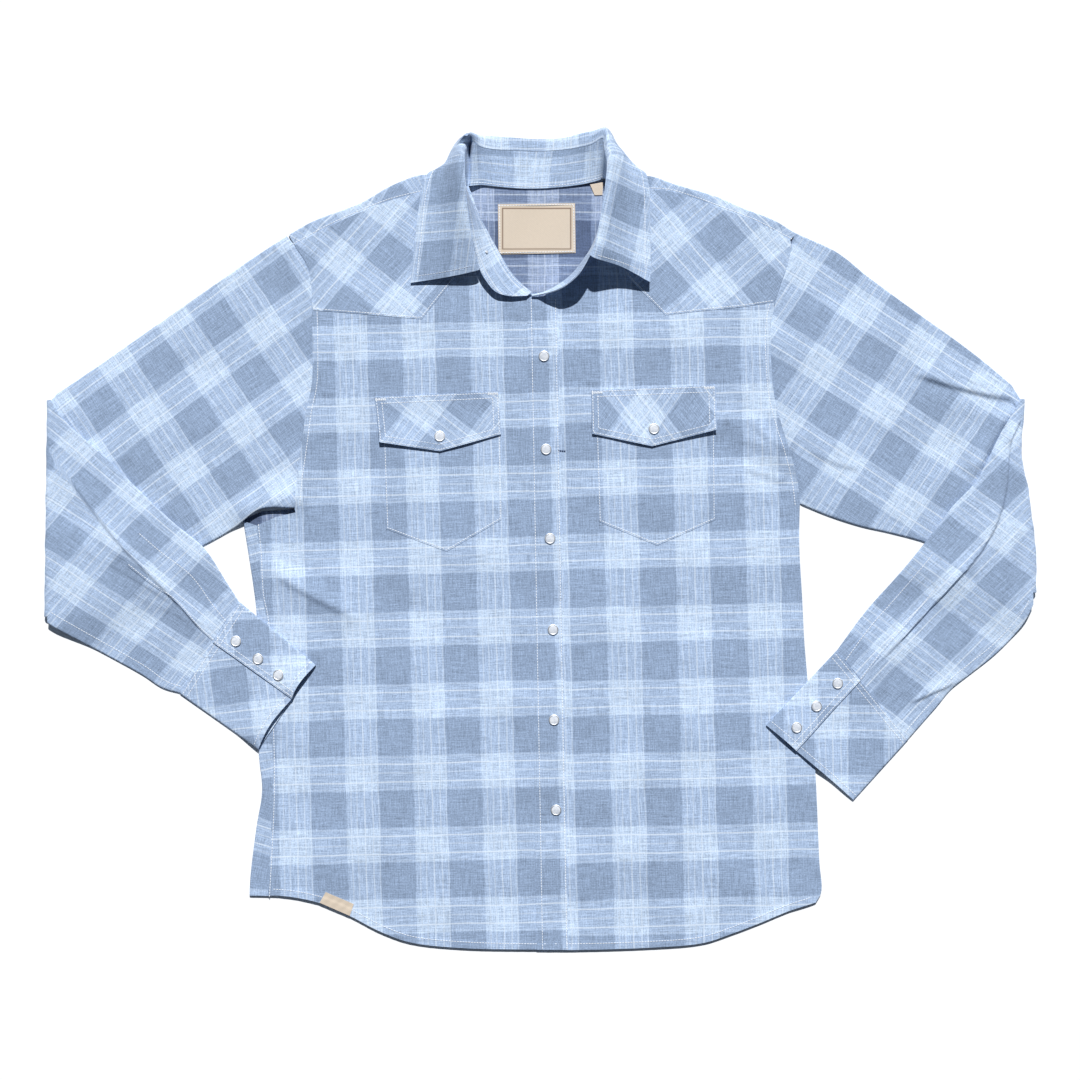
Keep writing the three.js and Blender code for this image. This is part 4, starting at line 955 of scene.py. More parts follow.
def plaid_cotton(name, dark, half, light, line, line_share=0.74):
    """Yarn-dyed plaid cotton, plain woven from slubby yarn: matt, with single threads that show lighter
    and darker, a soft nap at grazing angles and light stripes that cross in both directions."""
    material, tree = new_material(name)
    uv = add_node(tree, "ShaderNodeUVMap", {"uv_map": "weave"})
    # Threads are not quite straight: they wander by a millimetre or so over some centimetres
    wander = add_node(tree, "ShaderNodeTexNoise", {}, {"Scale": 22.0, "Detail": 2.0}, {"Vector": uv.outputs["UV"]})
    centred = add_node(tree, "ShaderNodeVectorMath", {"operation": "SUBTRACT"}, {1: (0.5, 0.5, 0.5)},
                       {0: wander.outputs["Color"]})
    scaled = add_node(tree, "ShaderNodeVectorMath", {"operation": "SCALE"}, {"Scale": 0.003},
                      {0: centred.outputs["Vector"]})
    cloth = add_node(tree, "ShaderNodeVectorMath", {"operation": "ADD"}, {},
                     {0: uv.outputs["UV"], 1: scaled.outputs["Vector"]})
    repeats = add_node(tree, "ShaderNodeMapping", {}, {"Location": (0.5, 0.5, 0), "Scale": (1000 / REPEAT,) * 3},
                       {"Vector": cloth.outputs["Vector"]})
    parts = add_node(tree, "ShaderNodeSeparateXYZ", {}, {}, {"Vector": repeats.outputs["Vector"]})
    bands, lines = [], []
    for axis, strips in (("X", WARP_LINES), ("Y", WEFT_LINES)):
        place = add_node(tree, "ShaderNodeMath", {"operation": "FRACT"}, {}, {0: parts.outputs[axis]})
        bands.append(add_node(tree, "ShaderNodeValToRGB", {}, {}, {"Fac": place.outputs[0]}, band_stops()))
        lines.append(add_node(tree, "ShaderNodeValToRGB", {}, {}, {"Fac": place.outputs[0]}, line_stops(strips)))
    both = add_node(tree, "ShaderNodeMath", {"operation": "ADD"}, {},
                    {0: bands[0].outputs["Color"], 1: bands[1].outputs["Color"]})
    tone = add_node(tree, "ShaderNodeMath", {"operation": "MULTIPLY"}, {1: 0.5}, {0: both.outputs[0]})
    ground = add_node(tree, "ShaderNodeValToRGB", {}, {}, {"Fac": tone.outputs[0]},
                      [(0.0, linear(dark)), (0.5, linear(half)), (1.0, linear(light))])
    # Slubs: yarns about 0.9 mm apart as they show, 20 mm long, along warp and weft
    yarns = []
    for scale in ((1150, 55, 1), (48, 1050, 1)):
        stretched = add_node(tree, "ShaderNodeMapping", {}, {"Scale": scale}, {"Vector": cloth.outputs["Vector"]})
        yarns.append(add_node(tree, "ShaderNodeTexNoise", {"noise_dimensions": "2D"},
                              {"Scale": 1.0, "Detail": 2.5, "Roughness": 0.6}, {"Vector": stretched.outputs["Vector"]}))
    # Each light line fades in and out where its thread dips below the crossing ones
    dip = [add_node(tree, "ShaderNodeMapRange", {}, {"From Min": 0.3, "From Max": 0.62, "To Min": 0.6, "To Max": 1.1},
                    {"Value": yarn.outputs["Fac"]}) for yarn in (yarns[1], yarns[0])]
    strong = [add_node(tree, "ShaderNodeMath", {"operation": "MULTIPLY"}, {},
                       {0: ramp_node.outputs["Color"], 1: d.outputs["Result"]}) for ramp_node, d in zip(lines, dip)]
    # Undyed yarns lie here and there among the others of a light band
    undyed = [add_node(tree, "ShaderNodeMapRange", {}, {"From Min": 0.52, "From Max": 0.72, "To Max": 0.2},
                       {"Value": yarn.outputs["Fac"]}) for yarn in yarns]
    streaks = [add_node(tree, "ShaderNodeMath", {"operation": "MULTIPLY"}, {},
                        {0: band.outputs["Color"], 1: u.outputs["Result"]}) for band, u in zip(bands, undyed)]
    brightest = strong[0]
    for other in (strong[1], *streaks):
        brightest = add_node(tree, "ShaderNodeMath", {"operation": "MAXIMUM"}, {},
                             {0: brightest.outputs[0], 1: other.outputs[0]})
    share = add_node(tree, "ShaderNodeMath", {"operation": "MULTIPLY", "use_clamp": True}, {1: line_share},
                     {0: brightest.outputs[0]})
    slub = add_node(tree, "ShaderNodeMath", {"operation": "ADD"}, {},
                    {0: yarns[0].outputs["Fac"], 1: yarns[1].outputs["Fac"]})
    # Heather: dyed and undyed fibres lie mixed in each yarn, in flecks of 1.5 mm or so
    fleck = add_node(tree, "ShaderNodeTexNoise", {}, {"Scale": 640.0, "Detail": 3.0, "Roughness": 0.65},
                     {"Vector": uv.outputs["UV"]})
    fleck_tone = add_node(tree, "ShaderNodeMapRange", {},
                          {"From Min": 0.3, "From Max": 0.7, "To Min": 0.76, "To Max": 1.24},
                          {"Value": fleck.outputs["Fac"]})
    # Cloudy change of tone over the panel, as washing leaves it
    wash = add_node(tree, "ShaderNodeTexNoise", {}, {"Scale": 9.0, "Detail": 3.0}, {"Vector": uv.outputs["UV"]})
    slub_tone = add_node(tree, "ShaderNodeMapRange", {},
                         {"From Min": 0.55, "From Max": 1.45, "To Min": 0.62, "To Max": 1.38}, {"Value": slub.outputs[0]})
    wash_tone = add_node(tree, "ShaderNodeMapRange", {},
                         {"From Min": 0.3, "From Max": 0.7, "To Min": 0.95, "To Max": 1.05}, {"Value": wash.outputs["Fac"]})
    clouded = add_node(tree, "ShaderNodeMath", {"operation": "MULTIPLY"}, {},
                       {0: slub_tone.outputs["Result"], 1: wash_tone.outputs["Result"]})
    factor = add_node(tree, "ShaderNodeMath", {"operation": "MULTIPLY"}, {},
                      {0: clouded.outputs[0], 1: fleck_tone.outputs["Result"]})
    woven = add_node(tree, "ShaderNodeVectorMath", {"operation": "SCALE"}, {},
                     {0: ground.outputs["Color"], "Scale": factor.outputs[0]})
    colour = add_node(tree, "ShaderNodeMix", {"data_type": "RGBA"}, {7: linear(line)},
                      {"Factor": share.outputs[0], 6: woven.outputs["Vector"]})
    bump = add_node(tree, "ShaderNodeBump", {}, {"Strength": 0.35, "Distance": 0.0002}, {"Height": slub.outputs[0]})
    shader = add_node(tree, "ShaderNodeBsdfPrincipled", {}, {
        "Roughness": 0.88, "Sheen Weight": 0.12, "Sheen Roughness": 0.45, "Specular IOR Level": 0.25,
    }, {"Base Color": colour.outputs[2], "Normal": bump.outputs["Normal"]})
    add_node(tree, "ShaderNodeOutputMaterial", {}, {}, {"Surface": shader.outputs[0]})
    return material


def twill_label(name, ground, frame_line):
    """Woven label of cream polyester twill: fine diagonal ribs, a thin plain frame line, slight gloss."""
    material, tree = new_material(name)
    uv = add_node(tree, "ShaderNodeUVMap", {"uv_map": "weave"})
    # Ribs 0.9 mm apart, drawn coarser than the real 0.4 mm so that they show
    ribs = add_node(tree, "ShaderNodeTexWave", {"bands_direction": "DIAGONAL"},
                    {"Scale": 350.0, "Distortion": 1.2, "Detail": 2.0}, {"Vector": uv.outputs["UV"]})
    grain = add_node(tree, "ShaderNodeTexNoise", {}, {"Scale": 420.0, "Detail": 3.0}, {"Vector": uv.outputs["UV"]})
    mixed = add_node(tree, "ShaderNodeMath", {"operation": "ADD"}, {},
                     {0: ribs.outputs["Fac"], 1: grain.outputs["Fac"]})
    tone = add_node(tree, "ShaderNodeMapRange", {}, {"From Max": 2.0, "To Min": 0.88, "To Max": 1.08},
                    {"Value": mixed.outputs[0]})
    attribute = add_node(tree, "ShaderNodeAttribute", {"attribute_name": "frame_line"})
    base = add_node(tree, "ShaderNodeMix", {"data_type": "RGBA"}, {6: linear(ground), 7: linear(frame_line)},
                    {"Factor": attribute.outputs["Fac"]})
    colour = add_node(tree, "ShaderNodeVectorMath", {"operation": "SCALE"}, {},
                      {0: base.outputs[2], "Scale": tone.outputs["Result"]})
    bump = add_node(tree, "ShaderNodeBump", {}, {"Strength": 0.3, "Distance": 0.0002}, {"Height": mixed.outputs[0]})
    shader = add_node(tree, "ShaderNodeBsdfPrincipled", {}, {"Roughness": 0.7, "Sheen Weight": 0.1},
                      {"Base Color": colour.outputs["Vector"], "Normal": bump.outputs["Normal"]})
    add_node(tree, "ShaderNodeOutputMaterial", {}, {}, {"Surface": shader.outputs[0]})
    return material


def pearl_cap(name, light, shade):
    """Moulded pearlescent plastic: milky, clouded in layers, with a clear glossy skin."""
    material, tree = new_material(name)
    where = add_node(tree, "ShaderNodeTexCoord")
    # Clouds of pigment some 3 mm across
    cloud = add_node(tree, "ShaderNodeTexNoise", {}, {"Scale": 330.0, "Detail": 4.0, "Distortion": 1.4},
                     {"Vector": where.outputs["Object"]})
    colour = add_node(tree, "ShaderNodeValToRGB", {}, {}, {"Fac": cloud.outputs["Fac"]},
                      [(0.3, linear(shade)), (0.62, linear(light))])
    shader = add_node(tree, "ShaderNodeBsdfPrincipled", {}, {
        "Roughness": 0.28, "Coat Weight": 0.6, "Coat Roughness": 0.08, "Subsurface Weight": 0.05,
        "Subsurface Radius": (0.002, 0.002, 0.002),
    }, {"Base Color": colour.outputs["Color"]})
    add_node(tree, "ShaderNodeOutputMaterial", {}, {}, {"Surface": shader.outputs[0]})
    return material


def plated_brass(name, tint):
    """Nickel-plated brass, stamped and tumbled: bright, with faint scuffs that spread its highlights."""
    material, tree = new_material(name)
    where = add_node(tree, "ShaderNodeTexCoord")
    scuff = add_node(tree, "ShaderNodeTexNoise", {}, {"Scale": 900.0, "Detail": 2.0}, {"Vector": where.outputs["Object"]})
    rough = add_node(tree, "ShaderNodeMapRange", {}, {"To Min": 0.42, "To Max": 0.55}, {"Value": scuff.outputs["Fac"]})
    shader = add_node(tree, "ShaderNodeBsdfPrincipled", {}, {"Base Color": linear(tint), "Metallic": 1.0},
                      {"Roughness": rough.outputs["Result"]})
    add_node(tree, "ShaderNodeOutputMaterial", {}, {}, {"Surface": shader.outputs[0]})
    return material


def cotton_thread(name, light, shade):
    """Spun cotton-wrapped thread: matt, twisted from plies that catch the light in turn."""
    material, tree = new_material(name)
    where = add_node(tree, "ShaderNodeTexCoord")
    # Plies of the twist, 0.6 mm apart
    plies = add_node(tree, "ShaderNodeTexNoise", {}, {"Scale": 1600.0, "Detail": 2.0}, {"Vector": where.outputs["Object"]})
    colour = add_node(tree, "ShaderNodeValToRGB", {}, {}, {"Fac": plies.outputs["Fac"]},
                      [(0.35, linear(shade)), (0.6, linear(light))])
    bump = add_node(tree, "ShaderNodeBump", {}, {"Strength": 0.3, "Distance": 0.0001}, {"Height": plies.outputs["Fac"]})
    shader = add_node(tree, "ShaderNodeBsdfPrincipled", {}, {"Roughness": 0.75, "Sheen Weight": 0.15},
                      {"Base Color": colour.outputs["Color"], "Normal": bump.outputs["Normal"]})
    add_node(tree, "ShaderNodeOutputMaterial", {}, {}, {"Surface": shader.outputs[0]})
    return material


def laying_paper(name, colour):
    """Matt white backdrop paper with the faintest tooth."""
    material, tree = new_material(name)
    where = add_node(tree, "ShaderNodeTexCoord")
    tooth = add_node(tree, "ShaderNodeTexNoise", {}, {"Scale": 300.0, "Detail": 3.0}, {"Vector": where.outputs["Object"]})
    bump = add_node(tree, "ShaderNodeBump", {}, {"Strength": 0.04, "Distance": 0.0002}, {"Height": tooth.outputs["Fac"]})
    shader = add_node(tree, "ShaderNodeBsdfPrincipled", {}, {"Base Color": linear(colour), "Roughness": 0.9},
                      {"Normal": bump.outputs["Normal"]})
    add_node(tree, "ShaderNodeOutputMaterial", {}, {}, {"Surface": shader.outputs[0]})
    return material


def to_hex(colour):
    return "#" + "".join(f"{round(255 * c):02x}" for c in colour[:3])


def cloth_materials(context):
    """The plaid's face and its reverse, made once and shared by every piece."""
    names = ("plaid_cotton_face", "plaid_cotton_reverse")
    if names[0] not in bpy.data.materials:
        c = context.scene.shirt_colours
        plaid_cotton(names[0], to_hex(c.dark), to_hex(c.middle), to_hex(c.light), to_hex(c.stripe))
        plaid_cotton(names[1], to_hex(c.reverse_dark), to_hex(c.reverse_middle), to_hex(c.reverse_light),
                     to_hex(c.stripe), 0.55)
    return [bpy.data.materials[name] for name in names]


def srgb_colour(name, description, value):
    rgb = tuple(int(value[k: k + 2], 16) / 255 for k in (1, 3, 5))
    return FloatVectorProperty(name=name, description=description, subtype="COLOR_GAMMA", size=3, min=0, max=1, default=rgb)


class ShirtColours(bpy.types.PropertyGroup):
    dark: srgb_colour("Dark squares", "Where no light band crosses, sRGB", "#91a4bf")
    middle: srgb_colour("Single bands", "One light band over the ground, sRGB", "#a7bbd7")
    light: srgb_colour("Light squares", "Where two light bands cross, sRGB", "#bed1e9")
    stripe: srgb_colour("Stripes", "The thin light lines, sRGB", "#e7f0f9")
    reverse_dark: srgb_colour("Reverse, dark", "Inside of the cloth, dark squares, sRGB", "#566480")
    reverse_middle: srgb_colour("Reverse, bands", "Inside of the cloth, one light band, sRGB", "#7585a3")
    reverse_light: srgb_colour("Reverse, light", "Inside of the cloth, crossed light bands, sRGB", "#94a3bf")
    thread: srgb_colour("Thread", "Sewing thread, sRGB", "#fbfdff")
    label: srgb_colour("Label", "Neck label and tabs, sRGB", "#d8c8b4")
    label_line: srgb_colour("Label line", "Thin frame line of the label, sRGB", "#7a5f4c")
    pearl: srgb_colour("Pearl", "Snap caps, sRGB", "#e8ebf0")
    metal: srgb_colour("Metal", "Snap rims, sRGB", "#eceef1")
    paper: srgb_colour("Paper", "Laying surface, sRGB", "#fafafa")


class ShirtSewing(bpy.types.PropertyGroup):
    spacing: FloatProperty(name="Mesh spacing", description="Size of the cloth's faces", default=0.0044, min=0.003,
                           max=0.02, unit="LENGTH")
    stitch_pitch: FloatProperty(name="Stitch pitch", description="From one stitch to the next", default=0.0028,
                                min=0.0015, max=0.01, unit="LENGTH")
    stitch_length: FloatProperty(name="Stitch length", description="Length of thread that shows", default=0.0026,
                                 min=0.001, max=0.01, unit="LENGTH")
    thread_width: FloatProperty(name="Thread width", description="Width of the sewing thread", default=0.0009,
                                min=0.0002, max=0.002, unit="LENGTH")
    snap_diameter: FloatProperty(name="Snap diameter", description="Outside of a snap's rim", default=0.011,
                                 min=0.008, max=0.016, unit="LENGTH")


class ShirtStage(bpy.types.PropertyGroup):
    camera_height: FloatProperty(name="Camera height", description="Above the laying surface", default=2.55, min=1,
                                 max=6, unit="LENGTH")
    lens: FloatProperty(name="Lens", description="Focal length in millimetres", default=85, min=20, max=200)
    sun_height: FloatProperty(name="Light's height", description="Angle of the key light above the table",
                              default=math.radians(47), min=0.2, max=1.5, subtype="ANGLE")
    sun_strength: FloatProperty(name="Key light", description="Strength of the key light", default=4.3, min=0, max=20)
    fill: FloatProperty(name="Fill light", description="Strength of the soft light all round", default=0.12, min=0,
                        max=5)


def declare(replaces, flat, area):
    """Hides the solids that a cloth piece stands for. The size and area of its cut, in millimetres, are worked out but
    not kept.
    """
    if replaces:
        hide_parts(*replaces)
    width, length = flat[0] / 1000, flat[1] / 1000
    area = min(max(area / 1e6, 0.301 * width * length), width * length)


def spacing_of(context):
    return context.scene.shirt_sewing.spacing * 1000


class SHIRT_OT_back(bpy.types.Operator):
    """Back and back yoke, folded over the left side and both shoulders on to the front"""
    bl_idname = "shirt.back"
    bl_label = "Back and back yoke"

    def execute(self, context):
        face, reverse = cloth_materials(context)
        coarse = spacing_of(context) * 1.5
        middle = np.array([540.0, 560.0])
        side_run = through(SIDE_LEFT, 60)
        seam = unfolded(through(SIDE_SEAM_LEFT, 60), side_run, middle)
        right_arm = armhole_part("right", YOKE_SEAM_Y, 600)[::-1]
        left_arm = armhole_part("left", YOKE_SEAM_Y, 600)
        hem = through(HEM, 150)
        outline = np.vstack([
            [(313, YOKE_SEAM_Y + 0.2)], left_arm, [(297, 508.5), (262, 511), (246.5, 518)], seam, hem[hem[:, 0] > 251],
            through(SIDE_RIGHT, 90)[::-1][1:], right_arm, [(771, YOKE_SEAM_Y + 0.2)],
        ])
        back, area = panel("back_cloth", outline, None, "back", [reverse, face], coarse,
                           folds=[side_run], middle=middle)
        declare(["back"], (610, 640), area)
        middle = np.array([540.0, 330.0])
        runs = [through(SHOULDER[side], 60) for side in ("left", "right")]
        strips = [unfolded(through(SHOULDER_SEAM[side], 60), run, middle) for side, run in zip(("left", "right"), runs)]
        outline = np.vstack([
            strips[0], through(NECK_BACK, 40), strips[1][::-1], armhole_part("right", 244, YOKE_SEAM_Y),
            [(771, YOKE_SEAM_Y - 0.2), (313, YOKE_SEAM_Y - 0.2)], armhole_part("left", 248, YOKE_SEAM_Y)[::-1],
        ])
        yoke, area = panel("back_yoke_cloth", outline, None, "back_yoke", [reverse, face], spacing_of(context),
                           folds=runs, middle=middle)
        declare(["back_yoke"], (520, 175), area)
        return {"FINISHED"}


class SHIRT_OT_fronts(bpy.types.Operator):
    """Left and right front"""
    bl_idname = "shirt.fronts"
    bl_label = "Fronts"

    def execute(self, context):
        materials = cloth_materials(context)
        for side, flat in (("left", (300, 780)), ("right", (290, 780))):
            front, area = panel(f"front_cloth_{side}", front_outline(side), front_height, f"front_{side}", materials,
                                spacing_of(context) * 0.8)
            declare([f"front_{side}"], flat, area)
        return {"FINISHED"}


class SHIRT_OT_front_pieces(bpy.types.Operator):
    """Front yokes, pockets, flaps and the front band, sewn on the fronts"""
    bl_idname = "shirt.front_pieces"
    bl_label = "Yokes, pockets, flaps and band"

    def execute(self, context):
        face = cloth_materials(context)[:1]
        fine = spacing_of(context) * 0.8

        def on_front(x, y):
            return front_height(x, y) + ON_TOP

        for side in ("left", "right"):
            yoke, area = panel(f"front_yoke_cloth_{side}", yoke_outline(side), on_front, f"yoke_{side}", face, fine, THIN)
            declare([f"front_yoke_{side}"], (200, 150), area)
            pocket, area = panel(f"pocket_cloth_{side}", POCKETS[side], on_front, f"pocket_{side}", face, fine, THIN)
            declare([f"pocket_{side}"], (122, 158), area)
            flap, area = panel(f"flap_cloth_{side}", FLAPS[side][0], flap_height(side), f"flap_{side}", face,
                               fine * 0.7)
            declare([f"flap_{side}"], (126, 62), area)
        band, area = panel("placket_cloth", PLACKET, on_front, "placket", face, fine, THIN)
        declare(["placket"], (36, 662), area)
        return {"FINISHED"}


def outwards(points, normals):
    return float(((points - points.mean(axis=0)) * normals).sum())


def upwards(points, normals):
    return float(normals[:, 2].sum())


def forearm_weave(side, lay):
    """Grain of a forearm; on the left the cloth beyond the long crease has slipped along it."""
    uv = weave_place(f"forearm_{side}", lay[:, 0], lay[:, 1])
    if side == "right":
        return uv
    run = extended(through(SLEEVE_PLEATS[side][0][0], 30))
    _, place, along = nearest(lay[:, :2], run)
    off = ((lay[:, :2] - place) * np.column_stack([-along[:, 1], along[:, 0]])).sum(axis=1)
    slipped = weave_place("forearm_strip_left", lay[:, 0], lay[:, 1])
    middle = [np.array([run[len(run) // 2][k]]) for k in (0, 1)]
    step = weave_place("forearm_left", *middle) - weave_place("forearm_strip_left", *middle)
    slipped += np.round(step / (REPEAT / 1000)) * REPEAT / 1000
    share = ramp(-1.5, 1.5, off)[:, None]
    return uv * (1 - share) + slipped * share


class SHIRT_OT_sleeves(bpy.types.Operator):
    """Sleeves, each one flattened tube folded over at the elbow"""
    bl_idname = "shirt.sleeves"
    bl_label = "Sleeves"

    def execute(self, context):
        face, reverse = cloth_materials(context)
        for side in ("left", "right"):
            grid, fold_row = sleeve_grid(side)
            rows, columns = grid.shape[:2]
            lay = grid.reshape(-1, 3)
            uv = weave_place(f"upper_{side}", lay[:, 0], lay[:, 1])
            forearm = np.repeat(np.arange(rows - 1) >= fold_row, columns)
            patches = [(forearm, forearm_weave(side, lay))]

            def away(points, normals, columns=columns):
                ring = points.reshape(-1, columns, 3)
                spread = ring - ring.mean(axis=1, keepdims=True)
                return float((spread * normals.reshape(ring.shape)).sum())

            sleeve = grid_piece(f"sleeve_cloth_{side}", grid, uv, [face, reverse], away, True, patches=patches)
            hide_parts(f"sleeve_{side}")
        return {"FINISHED"}


class SHIRT_OT_cuffs(bpy.types.Operator):
    """Cuffs that lap over themselves, and the plackets above them"""
    bl_idname = "shirt.cuffs"
    bl_label = "Cuffs and sleeve plackets"

    def execute(self, context):
        face = cloth_materials(context)[:1]
        for side in ("left", "right"):
            grid = cuff_grid(side)
            lay = grid.reshape(-1, 3)
            uv = weave_place(f"cuff_{side}", lay[:, 0], lay[:, 1])
            columns = grid.shape[1]

            def away(points, normals, columns=columns):
                ring = points.reshape(-1, columns, 3)
                spread = ring - ring.mean(axis=1, keepdims=True)
                return float((spread * normals.reshape(ring.shape)).sum())

            lap_uv = weave_place(f"cuff_lap_{side}", lay[:, 0], lay[:, 1])
            lap = np.tile(np.arange(columns - 1) < LAP_COLUMNS + 6, len(grid) - 1)
            cuff = grid_piece(f"cuff_cloth_{side}", grid, uv, face, away, thickness=DOUBLED, patches=[(lap, lap_uv)])
            declare([f"cuff_{side}"], (262, 100), 262 * 96)
            grid = sleeve_placket_grid(side)
            lay = grid.reshape(-1, 3)
            uv = forearm_weave(side, lay)
            strip = grid_piece(f"sleeve_placket_cloth_{side}", grid, uv, face, upwards, thickness=THIN)
            across = float(np.linalg.norm(grid[-1, -1] - grid[-1, 0]))
            along = length_of(grid[:, 6])
            declare([f"sleeve_placket_{side}"], (across, along), across * along * 0.95)
        return {"FINISHED"}


def collar_weave(grid, turn, shift_u=0.0, shift_v=0.0):
    """The collar's own grain: along the neck and across it, by length of cloth."""
    along = np.concatenate([[0], np.cumsum(np.linalg.norm(np.diff(grid[:, 0], axis=0), axis=1))])
    down = np.concatenate([np.zeros((len(grid), 1)),
                           np.cumsum(np.linalg.norm(np.diff(grid, axis=1), axis=2), axis=1)], axis=1)
    along = np.broadcast_to(along[:, None], down.shape)
    c, s = math.cos(math.radians(turn)), math.sin(math.radians(turn))
    u = along * c + down * s + shift_u
    v = -(down * c - along * s) + shift_v
    return np.column_stack([u.ravel(), v.ravel()]) / 1000


class SHIRT_OT_collar(bpy.types.Operator):
    """Collar stand and collar leaf"""
    bl_idname = "shirt.collar"
    bl_label = "Collar"

    def execute(self, context):
        face = cloth_materials(context)[:1]
        grid = stand_grid()
        stand = grid_piece("collar_stand_cloth", grid, collar_weave(grid, 0, 8, 14), face, upwards, thickness=DOUBLED)
        declare(["collar_stand"], (430, 46), 430 * 33)
        grid = leaf_grid()
        lay = grid.reshape(-1, 3)
        # The fronts of the leaf follow the lay; round the back the grain goes by length of cloth
        crest_x, crest_y = np.repeat(grid[:, 3, 0], grid.shape[1]), np.repeat(grid[:, 3, 1], grid.shape[1])
        uv = collar_weave(grid, 90, 0, 20)
        for name, chosen in (("leaf_left", crest_x < 535), ("leaf_right", crest_x >= 535)):
            share = (ramp(144, 160, crest_y) * chosen)[:, None]
            uv = uv * (1 - share) + weave_place(name, lay[:, 0], lay[:, 1]) * share
        leaf = grid_piece("collar_leaf_cloth", grid, uv, face, upwards, thickness=DOUBLED)
        declare(["collar_leaf"], (450, 85), 24000)
        return {"FINISHED"}


def label_frame(obj, box, inset, width):
    """Marks the thin frame line of a label as an attribute of its mesh."""
    mesh = obj.data
    co = np.empty(len(mesh.vertices) * 3)
    mesh.vertices.foreach_get("co", co)
    x, y = co.reshape(-1, 3)[:, 0] * 1000 + MARK[0], MARK[1] - co.reshape(-1, 3)[:, 1] * 1000
    x0, y0, x1, y1 = box
    edge = np.minimum(np.minimum(x - x0, x1 - x), np.minimum(y - y0, y1 - y))
    value = np.clip(1.6 - np.abs(edge - inset) / width * 1.6, 0, 1)
    mesh.attributes.new("frame_line", "FLOAT", "POINT").data.foreach_set("value", value.astype(np.float32))


class SHIRT_OT_labels(bpy.types.Operator):
    """Neck label, size tab and hem tab, all bare"""
    bl_idname = "shirt.labels"
    bl_label = "Labels"

    def execute(self, context):
        c = context.scene.shirt_colours
        material = twill_label("cream_twill_label", to_hex(c.label), to_hex(c.label_line))
        thin = 0.5
        floor_top = CLOTH + 0.08 + thin / 2

        def on_yoke(x, y):
            return floor_top + 0.35 * (1 + np.sin(np.asarray(x) / 11 + np.asarray(y) / 17))

        def on_hem(x, y):
            return front_height(x, y) + (CLOTH + thin) / 2 + 0.08

        jobs = [
            ("neck_label", [(498, 204), (575, 203), (575.6, 252.6), (498.6, 254)], on_yoke, 0.8, (77, 50), "back_yoke_cloth"),
            ("size_tab", [(590, 184.2), (603, 181.8), (602.4, 194.6), (594.6, 195)], on_yoke, 1.2, (14, 13), "back_yoke_cloth"),
            ("hem_tab", [(326, 891), (354, 903), (350, 914.8), (320, 901.6)], on_hem, 1.5, (33, 15), "front_cloth_left"),
        ]
        for name, outline, height, spacing, flat, below in jobs:
            obj, area = panel(f"{name}_twill", outline, height, "back_yoke", [material], spacing, thin)
            label_frame(obj, (498, 203.5, 575.3, 253.3) if name == "neck_label" else (0, 0, 1, 1), 4.6, 0.8)
            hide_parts(name)
        return {"FINISHED"}


# Geometry Nodes
def node_tree(name, inputs):
    """A tree with a geometry in and out and named inputs; also gives the inputs' identifiers."""
    tree = bpy.data.node_groups.new(name, "GeometryNodeTree")
    tree.interface.new_socket("Geometry", in_out="INPUT", socket_type="NodeSocketGeometry")
    names = {}
    for label, kind in inputs:
        names[label] = tree.interface.new_socket(label, in_out="INPUT", socket_type=kind).identifier
    tree.interface.new_socket("Geometry", in_out="OUTPUT", socket_type="NodeSocketGeometry")
    return tree, names


def stitch_tree():
    """Stitches along every run of edges: one short capsule of thread at each pitch."""
    tree, names = node_tree("sewn_stitches", [
        ("Pitch", "NodeSocketFloat"), ("Length", "NodeSocketFloat"), ("Width", "NodeSocketFloat"),
        ("Material", "NodeSocketMaterial"),
    ])
    group = add_node(tree, "NodeGroupInput")
    curve = add_node(tree, "GeometryNodeMeshToCurve", {}, {}, {"Mesh": group.outputs["Geometry"]})
    dots = add_node(tree, "GeometryNodeCurveToPoints", {"mode": "LENGTH"}, {},
                    {"Curve": curve.outputs["Curve"], "Length": group.outputs["Pitch"]})
    turn = add_node(tree, "FunctionNodeAlignRotationToVector", {"axis": "X"}, {}, {"Vector": dots.outputs["Tangent"]})
    thread = add_node(tree, "GeometryNodeMeshUVSphere", {}, {"Segments": 6, "Rings": 4, "Radius": 0.5})
    # Pulled tight, the thread is half as high as it is wide
    high = add_node(tree, "ShaderNodeMath", {"operation": "MULTIPLY"}, {1: 0.5}, {0: group.outputs["Width"]})
    long = add_node(tree, "ShaderNodeCombineXYZ", {}, {},
                    {"X": high.outputs[0], "Y": group.outputs["Width"], "Z": group.outputs["Length"]})
    sized = add_node(tree, "GeometryNodeTransform", {}, {}, {"Geometry": thread.outputs["Mesh"], "Scale": long.outputs[0]})
    laid = add_node(tree, "GeometryNodeTransform", {}, {"Rotation": (0, math.pi / 2, 0)},
                    {"Geometry": sized.outputs["Geometry"]})
    placed = add_node(tree, "GeometryNodeInstanceOnPoints", {}, {}, {
        "Points": dots.outputs["Points"], "Instance": laid.outputs["Geometry"], "Rotation": turn.outputs["Rotation"]})
    real = add_node(tree, "GeometryNodeRealizeInstances", {}, {}, {"Geometry": placed.outputs["Instances"]})
    soft = add_node(tree, "GeometryNodeSetShadeSmooth", {}, {}, {"Geometry": real.outputs["Geometry"]})
    done = add_node(tree, "GeometryNodeSetMaterial", {}, {},
                    {"Geometry": soft.outputs["Geometry"], "Material": group.outputs["Material"]})
    add_node(tree, "NodeGroupOutput", {}, {}, {"Geometry": done.outputs["Geometry"]})
    return tree, names


